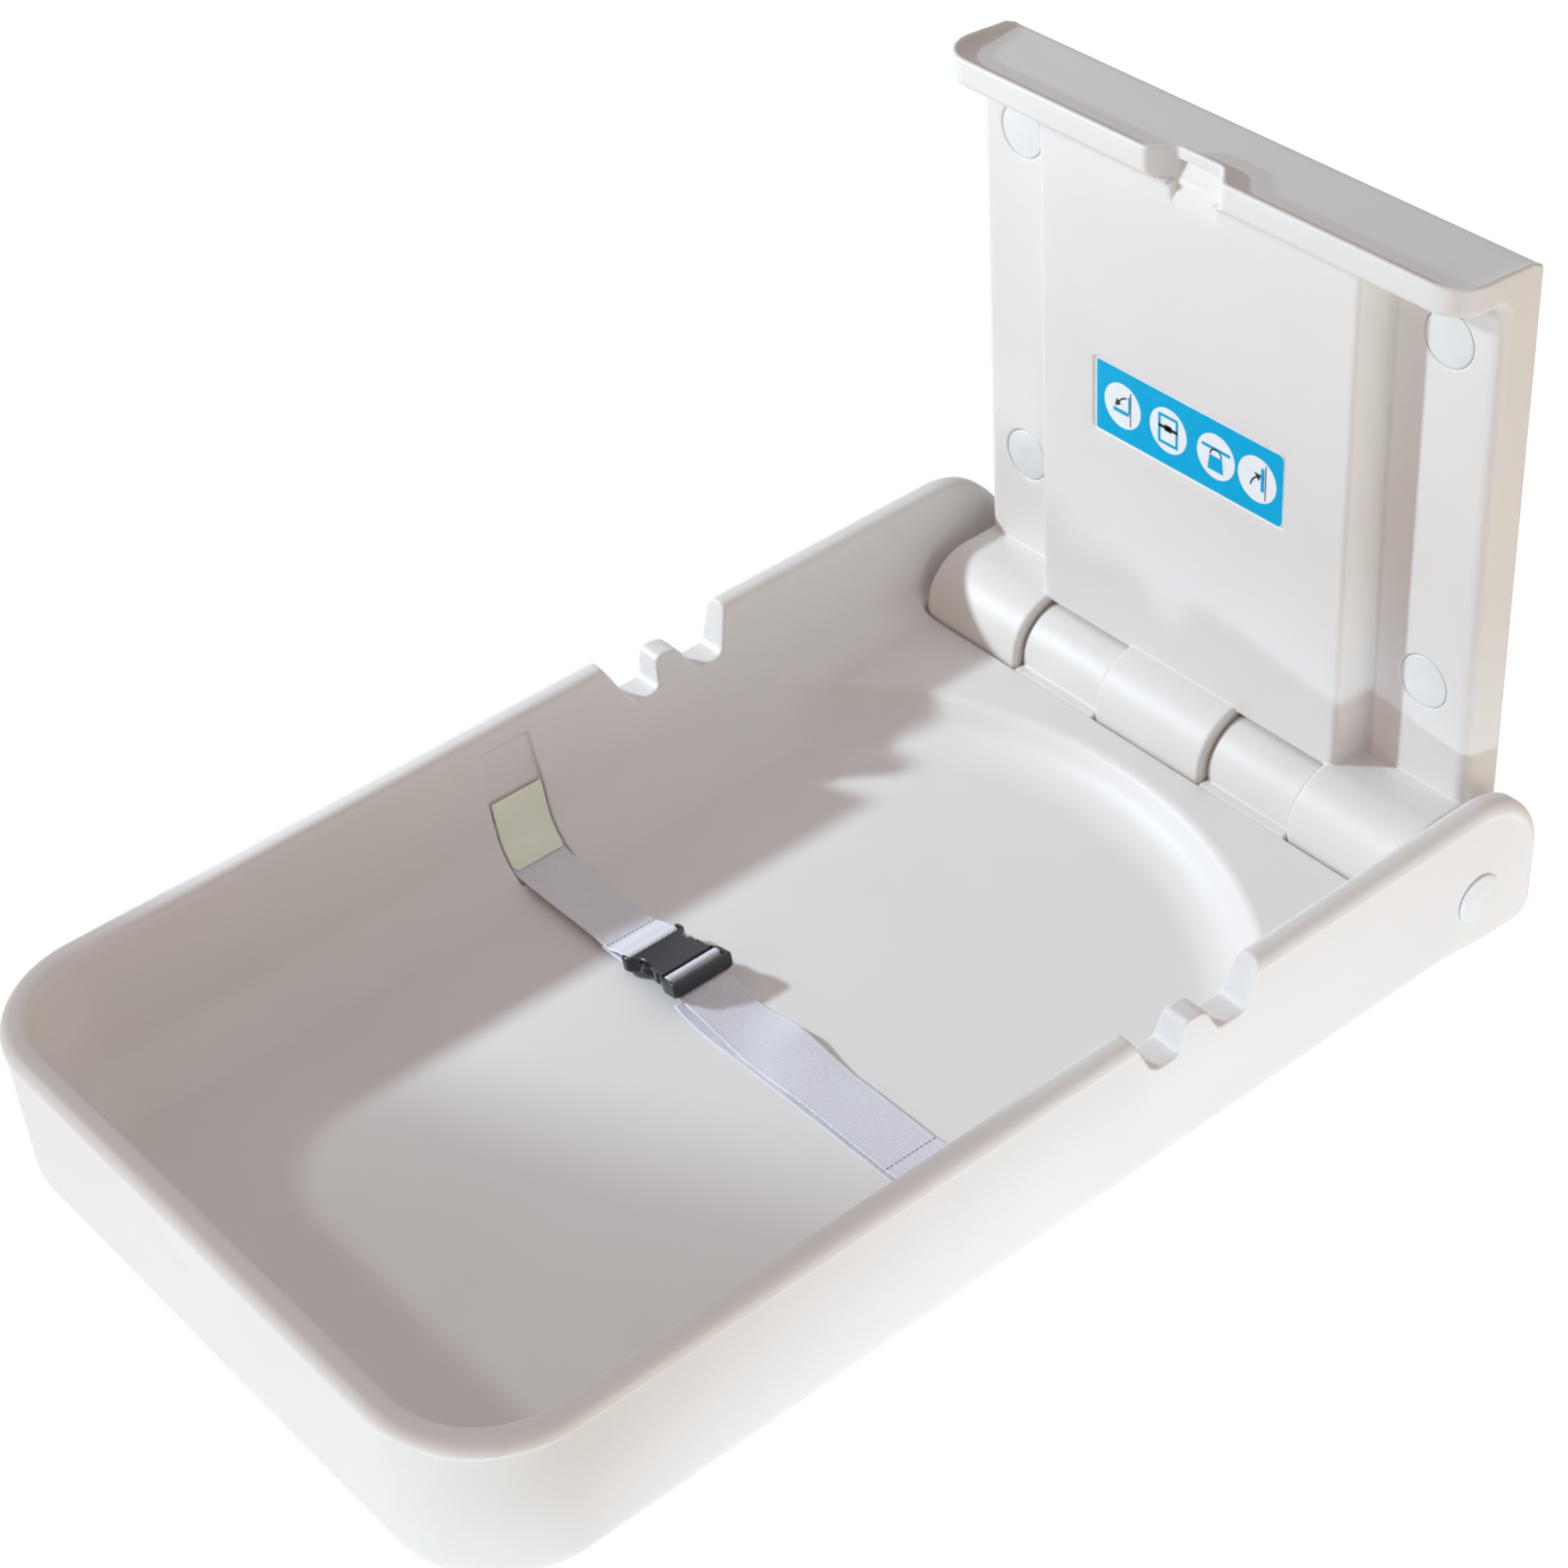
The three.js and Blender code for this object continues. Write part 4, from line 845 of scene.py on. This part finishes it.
# Label: a plate with a pale edge, its printed face, and roundels with plain pictograms
def label():
    shape = bmesh.new()
    foot = -2.8
    layers = {"plate": -3.55, "face": -3.68, "roundel": -3.8, "mark": -3.92}
    inks = {"plate": 1, "face": 0, "roundel": 1, "mark": 0, "line": 2}

    def print_on(layer, ink, points):
        """A flat closed shape on the label from (x, z) points, as high as its layer says."""
        area = sum(a[0] * b[1] - b[0] * a[1] for a, b in zip(points, points[1:] + points[:1]))
        if area < 0:
            points = points[::-1]
        front = [
            shape.verts.new(np.array((u, layers[layer], LABEL_Z + v)) * MM + np.array(HINGE))
            for u, v in points
        ]
        back = [shape.verts.new(v.co + Vector((0, foot - layers[layer], 0)) * MM) for v in front]
        faces = [shape.faces.new(front), shape.faces.new(back[::-1])]
        for k in range(len(points)):
            after = (k + 1) % len(points)
            faces.append(shape.faces.new((front[after], front[k], back[k], back[after])))
        for face in faces:
            face.material_index = inks[ink]

    def board(half_u, half_v, right, left):
        """Outline of a board whose corners are rounded more on one side."""
        return [
            (cu * (half_u - r) + r * math.cos(a), cv * (half_v - r) + r * math.sin(a))
            for cu, cv, start, r in (
                (1, 1, 0, right), (-1, 1, 90, left), (-1, -1, 180, left), (1, -1, 270, right),
            )
            for a in (math.radians(start + 15 * k) for k in range(7))
        ]

    def arc(u, v, radius, start, end, count=13):
        """Points round (u, v) from one angle to another, in degrees."""
        return [
            (u + radius * math.cos(a), v + radius * math.sin(a))
            for a in np.radians(np.linspace(start, end, count))
        ]

    def stroke(points, width):
        """A band of even width along (u, v) points."""
        points = np.array(points, float)
        run = np.gradient(points, axis=0)
        run /= np.linalg.norm(run, axis=1, keepdims=True)
        off = np.stack([-run[:, 1], run[:, 0]], axis=1) * width / 2
        return [tuple(p) for p in np.vstack([points + off, (points - off)[::-1]])]

    print_on("plate", "plate", board(90.5, 29.5, 5, 2))
    print_on("face", "face", board(89.8, 28.8, 4.4, 1.4))
    for u in (-64, -19, 27, 66):
        print_on("roundel", "roundel", arc(u, 0, 18, 0, 352.5, 48))
    marks = [
        # Wall and tray, with an arrow down
        ("line", [(-56, -14), (-56, 14)], 0.9),
        ("mark", [(-57.5, -5), (-73, -5)], 3.2),
        ("mark", [(-57.5, -4), (-57.5, 10)], 1.6),
        ("line", arc(-58, -3, 11, 100, 158), 1.3),
        ("line", [(-71.4, -2.2), (-65.4, 0.6), (-70.0, 4.6)], None),
        # Tray from above, with its strap
        ("mark", [(-27.5, -10), (-27.5, 10)], 2.4),
        ("mark", [(-10.5, -10), (-10.5, 10)], 2.4),
        ("mark", [(-28.5, -11), (-9.5, -11)], 2.4),
        ("mark", [(-28.5, 11), (-9.5, 11)], 2.4),
        ("line", [(-28.5, 1.6), (-9.5, 1.6)], 2.6),
        ("line", [(a - 19, b + 1.6) for a, b in board(3.4, 2.6, 0.6, 0.6)], None),
        # Bag on the side hook
        ("mark", [(13.5, 6), (40.5, 6)], 2.6),
        ("line", arc(27, 0.5, 5.4, 0, 180), 1.3),
        ("mark", [(19.5, -12), (34.5, -12), (33, 0), (21, 0)], None),
        # Tray shut against the wall, with an arrow up
        ("line", [(74, -14), (74, 14)], 0.9),
        ("mark", [(71.2, -8), (71.2, 11)], 3.2),
        ("line", arc(72, -8, 12, 172, 118), 1.3),
        ("line", [(70.0, 5.0), (63.2, 5.2), (67.6, -0.6)], None),
    ]
    for ink, points, width in marks:
        print_on("mark", ink, stroke(points, width) if width else points)
    bmesh.ops.recalc_face_normals(shape, faces=shape.faces)
    mesh = bpy.data.meshes.new("label")
    shape.to_mesh(mesh)
    shape.free()
    for ink in (FINISHES["label"], WHITE_INK, DARK_INK):
        mesh.materials.append(ink)
    return new_object("label", mesh)


settle(label(), "label", "panel", "label_plate")


# Anchor plates of the strap, sunk in the recesses
PLATE_HALF, PLATE_FOOT, PLATE_TOP = 22.3, -25.5, 24.0
FOOT_STRETCH = 1.39  # the wall leans at the foot, so a step down is a longer step along it


def anchor_field(x, y, z):
    skin = band(bed_space(tray_plan(x, y), z), 1.3, 1.0)
    edge = corner(band(y, STRAP_Y, PLATE_HALF), (PLATE_FOOT - z) * FOOT_STRETCH, 4.5)
    return corner(skin, corner(edge, z - PLATE_TOP, 1), 0.8)


for side, word in ((-1, "left"), (1, "right")):
    low, high = sorted((side * 224, side * 258))
    plate = mould(f"anchor_plate_{word}", anchor_field, (low, -453, -30), (high, -401, 28), 0.5, 60000)
    settle(plate, "anchor", "tray", f"strap_plate_{word}")


# Side-release buckle, tipped up towards its ladder end. Its outlines are half plans of (along, sideways).
BUCKLE_TURN = math.radians(10.5)
BUCKLE_PIVOT = (-90.0, -25.0)
BUCKLE_HALF_HEIGHT = 6.0
SLOT_HALF = 22.9  # of the openings for the webbing
BAR_HALF = 24.0
CAVITY_HALF = 3.5
SOCKET_SLOT_END, POCKET_END = -95.8, -92.5
PLUG_SLOT_START, STEP_END, STEP_FLOOR = -58.5, -58.6, 2.7


def tip(u, w):
    """Place in the tray of a point of the level buckle."""
    du, dw = u - BUCKLE_PIVOT[0], w - BUCKLE_PIVOT[1]
    cos, sin = math.cos(BUCKLE_TURN), math.sin(BUCKLE_TURN)
    return BUCKLE_PIVOT[0] + cos * du - sin * dw, BUCKLE_PIVOT[1] + sin * du + cos * dw


def level(x, y, z):
    """Along, sideways and up from the middle of the level buckle, for points of the tray."""
    dx, dz = x - BUCKLE_PIVOT[0], z - BUCKLE_PIVOT[1]
    cos, sin = math.cos(BUCKLE_TURN), math.sin(BUCKLE_TURN)
    return BUCKLE_PIVOT[0] + cos * dx + sin * dz, np.abs(y - STRAP_Y), cos * dz - sin * dx


def side_line(rows, left, right):
    """Closed outline of half a plan from the smooth line of its side."""
    line = [tuple(row) for row in smooth(rows, 1.0)]
    return [(left, -6), *line, (right, -6)]


SOCKET_SIDE = side_line([
    (-104, 20), (-103.9, 23.6), (-102.2, 25.6), (-99, 26), (-95.6, 25.4), (-93.2, 23), (-91, 20.6),
    (-87.5, 19), (-82.5, 18.6), (-78, 19.4), (-74, 20.8), (-70, 21.8), (-66.2, 22.1),
], -104, -66.2)
PLUG_SIDE = side_line([
    (-65.7, 21.6), (-62.5, 22.4), (-59.5, 23.6), (-56.5, 25.2), (-53, 26), (-47, 26.1), (-42, 26),
], -65.7, -42)
ARM_SIDE = [
    (-66.2, 9.2), (-91, 9.2), (-91, 12.6), (-89.4, 14.6), (-88, 18.6), (-86.4, 21.8), (-84, 23.2),
    (-81, 23.3), (-78.4, 22), (-76.6, 19), (-75.4, 15.4), (-74, 13.4), (-66.2, 13),
]


def socket_field(x, y, z):
    u, h, w = level(x, y, z)
    body = corner(outline(SOCKET_SIDE, u, h), np.abs(w) - BUCKLE_HALF_HEIGHT, 1.8)
    body = carve(body, np.maximum(u - SOCKET_SLOT_END, h - SLOT_HALF), 0.7)
    loop_bar = corner(corner(band(u, -101.7, 2.2), np.abs(w) - 3.2, 2), h - BAR_HALF, 0.5)
    body = np.minimum(body, loop_bar)
    # Pocket for the plug's guide, and the windows of the release arms
    cavity = np.abs(w) - CAVITY_HALF
    pocket = np.maximum(np.maximum(cavity, h - 14.2), POCKET_END - u)
    window = np.maximum(np.maximum(cavity, 13 - h), band(u, -80.8, 8.2))
    body = carve(body, np.minimum(pocket, window), 0.6)
    apron = corner(np.maximum(band(u, -66.7, 7.7), h - 21.4), band(w, 4.5, 1.5), 0.7)
    return np.minimum(body, apron)


def plug_field(x, y, z):
    u, h, w = level(x, y, z)
    body = corner(outline(PLUG_SIDE, u, h), np.abs(w) - BUCKLE_HALF_HEIGHT, 1.8)
    body = carve(body, np.maximum(PLUG_SLOT_START - u, h - SLOT_HALF), 0.7)
    # Step under the socket's apron
    body = carve(body, np.maximum(STEP_FLOOR - w, np.maximum(u - STEP_END, h - 21.8)), 0.3)
    ladder = corner(corner(band(u, -53.2, 2.3), band(w, 0.6, 3.6), 2), h - BAR_HALF, 0.5)
    end_bar = corner(corner(band(u, -43.6, 3.9), np.abs(w) - BUCKLE_HALF_HEIGHT, 3.8), h - 26, 3.5)
    guide = corner(np.maximum(band(u, -78.6, 15.4), h - 4), np.abs(w) - 2.9, 0.6)
    return np.minimum(np.minimum(body, guide), np.minimum(ladder, end_bar))


def arm_field(x, y, z):
    u, h, w = level(x, y, z)
    return corner(outline(ARM_SIDE, u, h), np.abs(w) - 3.1, 1.3)


BUCKLE_STEP = 0.45
socket = mould("buckle_socket_shell", socket_field, (-108, -456, -38), (-54, -398, -10), BUCKLE_STEP, 90000)
settle(socket, "buckle", "tray", "buckle_socket")
plug = mould("buckle_plug_frame", plug_field, (-98, -456, -36), (-35, -398, -10), BUCKLE_STEP, 90000)
settle(plug, "buckle", "tray", "buckle_plug")
for side, word in ((-1, "front"), (1, "rear")):
    low, high = sorted((STRAP_Y + side * 6, STRAP_Y + side * 26))
    arm = mould(f"release_pad_{word}", arm_field, (-94, low, -33), (-62, high, -16), 0.4, 30000)
    settle(arm, "buckle", f"arm_{word}", f"release_arm_{word}")


# Webbing: out under each plate, round the socket's bar, and over the plug's ladder
def behind_wall(height, depth=3.4):
    """Half width of the tray's inside at a height, for a layer sunk behind its surface."""
    reach = BED_FILLET + depth
    rise = height - BED - BED_FILLET
    round_part = math.sqrt(reach ** 2 - min(rise, 0) ** 2) / math.cos(WALL_LEAN)
    return HALF - FILLET_INSET + round_part + rise * math.tan(WALL_LEAN)


WALL_ROWS = [(behind_wall(height), height) for height in (8, 3, -3, -9, -15, -20, -24)]
short_rows = [(-across, height, 0, 0) for across, height in WALL_ROWS]
short_rows += [
    (-233.4, -26.8, 0, 0), (-229, -28.2, 0, 0), (-223, -28.9, -0.4, 0), (-212, -29.8, -1, 0),
    (-190, -30.8, -2, 0), (-160, -30.8, -2.3, 0), (-138, -30.6, -1.6, 0), (-129, -30.5, -0.8, 0),
    (-124, -30.2, -0.4, 0), (-118.5, -28.2, 0, 0), (-113, -25.9, 0, 0),
]
loop = [
    (-105.5, -21.6), (-102, -20.9), (-99, -21.9), (-97.8, -24.5), (-98, -27.2), (-100, -29),
    (-103.5, -29), (-108, -28.6),
]
short_rows += [(*tip(u, w), 0, 0) for u, w in loop]
short_rows += [(-116, -32.2, 0, 0), (-123, -32.6, 0, 0), (-131, -32.7, 0, 0)]
short_webbing, short_top = webbing("short_webbing", short_rows)
settle(short_webbing, "webbing", "tray", "strap_short")

ladder_rows = [
    (-62.2, -30.2), (-59.2, -30), (-57.2, -28), (-56.6, -25), (-56.5, -22), (-55.4, -20),
    (-53.2, -19.4), (-51, -20), (-49.8, -22), (-49.4, -25), (-49, -28.6), (-47.4, -31), (-45, -31.9),
    (-42, -32),
]
long_rows = [(*tip(u, w), 0, 0) for u, w in ladder_rows]
long_rows += [
    (-34, -27.4, -2.2, 0), (-25, -29.4, -3.2, 0), (-12, -31.2, -3.4, 0), (0, -32.1, -1.8, 0),
    (12, -32, 0.4, 0), (34, -31, 3.8, 0), (58, -32, 1.8, 0), (85, -32.9, -0.6, 0),
    (115, -32.7, -0.4, -0.3), (145, -32.6, -0.2, -0.8), (170, -32.6, -0.2, -0.8), (182, -32, 0, -0.6),
    (194, -31.8, 0, -0.3), (207, -31.5, 0, 0), (215, -30.4, 0, 0), (223, -28.9, 0, 0), (229, -28.2, 0, 0),
    (233.4, -26.8, 0, 0),
]
long_rows += [(across, height, 0, 0) for across, height in reversed(WALL_ROWS)]
long_webbing, long_top = webbing("long_webbing", long_rows)
settle(long_webbing, "webbing", "tray", "strap_long")
tail_webbing, _ = webbing("webbing_tail", [
    (-46, -31.2, 0, -2.5), (-36, -32.6, 0, -3.6), (-22, -34.3, 0, -4.3), (0, -35, 0, -4.4),
    (40, -35.05, 0, -3.8), (100, -35.05, 0, -3.2), (150, -35.05, 0, -3.6), (180, -35.05, 0, -4),
    (204, -35.0, 0, -4),
])
settle(tail_webbing, "webbing", "tray")

# Stitches, each a short dark thread: rows across the strap, and a row along its near edge over the tail
stitch_unit = turned("stitch_unit", [
    (0, 0.22), (0.3, 0.16), (0.42, 0), (0.3, -0.2), (0, -0.25),
], 8)
STITCH_STRETCH = 3.6
ACROSS_PITCH, ALONG_PITCH = 3.73, 3.3
stitch_unit.data.transform(Matrix.Diagonal((STITCH_STRETCH, 1, 1, 1)))
stitch_spots = [
    on_top(place_x, w)
    for on_top, place_x in ((short_top, -125), (long_top, 173), (long_top, 197))
    for w in np.arange(-20.5, 20.6, ACROSS_PITCH)
]
for place_x in np.arange(76, 172, ALONG_PITCH):
    spot, up, across = long_top(place_x, -22.2, 0.1)
    stitch_spots.append((spot, up, np.cross(across, up)))
stitches = repeated("cross_stitches", stitch_unit, stitch_spots, THREAD)
settle(stitches, "webbing", "tray")
drop(stitch_unit)

# Solids that keep their shape and get a finish
SLOTS = {entry["node"]: entry["material_slot"] for entry in frame["record"]["subparts"]}
for node, solid in frame["nodes"].items():
    solid.data.materials.clear()
    solid.data.materials.append(FINISHES[SLOTS[node]])


# Studio: plain white round a wide soft ceiling light, dim surroundings and soft lamps
WHITE = (1.0, 1.0, 1.0, 1.0)
FLOOR_HEIGHT, FLOOR_SIZE = -1.15, 12
CEILING = (0.503, 0.459, 0.472, 1.0)
SURROUNDINGS = (0.01, 0.005, 0.005, 1.0)
HORIZON = (0.44, 0.56)  # the surroundings turn into the ceiling between these
KEY_PLACE = (-3.0705, -2.8665, 2.0310)
# Each lamp's level in red, green and blue, its place, what it points at and its width, all in metres,
# and the cone of a spot in degrees
LAMPS = {
    "key_disc": ((0.356, 0.396, 0.426), KEY_PLACE, (-0.15, -0.36, -0.30), 0.3, None),
    "key_spot": ((1.719, 2.161, 2.39), KEY_PLACE, (-2.455767, -2.230011, 1.565163), 0.26, 20),
    "near_spot": (
        (0.420, 0.490, 0.560), (-1.2533, -1.3069, 0.5806), (-0.721831, -0.586603, 0.134828), 0.10, 48,
    ),
    "side_spot": ((0.840, 1.092, 1.415), (2.3, -2.0, -0.5), (0.283, -0.30, -1.20), 0.2, 46),
    "front_disc": ((0.150, 0.088, 0.054), (0, -3.6, 0.2), (0, -0.5, -0.2), 2.0, None),
    "low_front_disc": ((0.096, 0.132, 0.150), (0.2, -2.4, -0.7), (0, -0.9, -0.3), 0.9, None),
    "right_disc": ((0.285, 0.264, 0.251), (3.2, 0, 0), (0.1, -0.4, -0.2), 1.6, None),
    "right_low_disc": ((0.043, 0.058, 0.053), (2.6, -0.6, -0.9), (0.28, -0.5, -0.3), 1.0, None),
    "rear_right_disc": ((0.079, 0.052, 0.007), (2.2, 2.0, 0.2), (0.1, -0.2, -0.2), 1.6, None),
}
FULL_POWER = 100  # watts of a lamp whose level is 1
SPOT_EDGE = 0.12


def shows_background(tree):
    """1 for the rays that see the background: the camera's own, and those through gloss and glass."""
    path = add(tree, "ShaderNodeLightPath")
    seen = path, "Is Camera Ray"
    for ray in ("Is Glossy Ray", "Is Transmission Ray"):
        seen = add(tree, "ShaderNodeMath", {"operation": "MAXIMUM"}, {0: seen, 1: (path, ray)}), "Value"
    return seen


def pale_floor():
    """Matt white floor that keeps the object's shadow and is plain white to the camera."""
    floor = new_object("floor", bpy.data.meshes.new("floor"))
    shape = bmesh.new()
    bmesh.ops.create_grid(shape, x_segments=1, y_segments=1, size=FLOOR_SIZE)
    bmesh.ops.translate(shape, verts=shape.verts, vec=(0, 0, FLOOR_HEIGHT))
    shape.to_mesh(floor.data)
    shape.free()
    material = bpy.data.materials.new("pale floor")
    tree = emptied(material)
    matt = add(tree, "ShaderNodeBsdfPrincipled", {}, {"Base Color": WHITE, "Roughness": 0.9})
    glow = add(tree, "ShaderNodeEmission", {}, {"Color": WHITE, "Strength": 1.0})
    shown = add(tree, "ShaderNodeMixShader", {}, {0: shows_background(tree), 1: (matt, 0), 2: (glow, 0)})
    add(tree, "ShaderNodeOutputMaterial", {}, {"Surface": (shown, 0)})
    floor.data.materials.append(material)
    floor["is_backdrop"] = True


def soft_world():
    """A wide soft ceiling light over dim surroundings, plain white to the camera."""
    world = bpy.data.worlds.new("studio")
    bpy.context.scene.world = world
    tree = emptied(world)
    where = add(tree, "ShaderNodeTexCoord")
    parts = add(tree, "ShaderNodeSeparateXYZ", {}, {0: (where, "Generated")})
    rise = add(tree, "ShaderNodeMapRange", {}, {
        "Value": (parts, "Z"), "From Min": HORIZON[0], "From Max": HORIZON[1],
    })
    blend = add(tree, "ShaderNodeMix", {"data_type": "RGBA"}, {
        0: (rise, "Result"), 6: SURROUNDINGS, 7: CEILING,
    })
    soft = add(tree, "ShaderNodeBackground", {}, {"Color": (blend, 2), "Strength": 1.0})
    plain = add(tree, "ShaderNodeBackground", {}, {"Color": WHITE, "Strength": 1.0})
    shown = add(tree, "ShaderNodeMixShader", {}, {0: shows_background(tree), 1: (soft, 0), 2: (plain, 0)})
    add(tree, "ShaderNodeOutputWorld", {}, {"Surface": (shown, 0)})


def lamp(name, levels, place, aim, width, cone):
    """A round lamp, or a spot with a soft edge where it has a cone."""
    data = bpy.data.lights.new(name, "SPOT" if cone else "AREA")
    if cone:
        data.spot_size, data.spot_blend = math.radians(cone), SPOT_EDGE
        data.shadow_soft_size = width / 2
    else:
        data.shape, data.size = "DISK", width
    data.energy = FULL_POWER * max(levels)
    data.color = [part / max(levels) for part in levels]
    made = new_object(name, data)
    made.location = place
    made.visible_camera = False
    made.rotation_euler = (Vector(aim) - Vector(place)).to_track_quat("-Z", "Y").to_euler()


pale_floor()
soft_world()
for name, settings in LAMPS.items():
    lamp(name, *settings)

bpy.context.scene.view_settings.view_transform = "Standard"
low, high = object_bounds()
{"cad": [list(cad_low), list(cad_high)], "visual": [list(low), list(high)]}
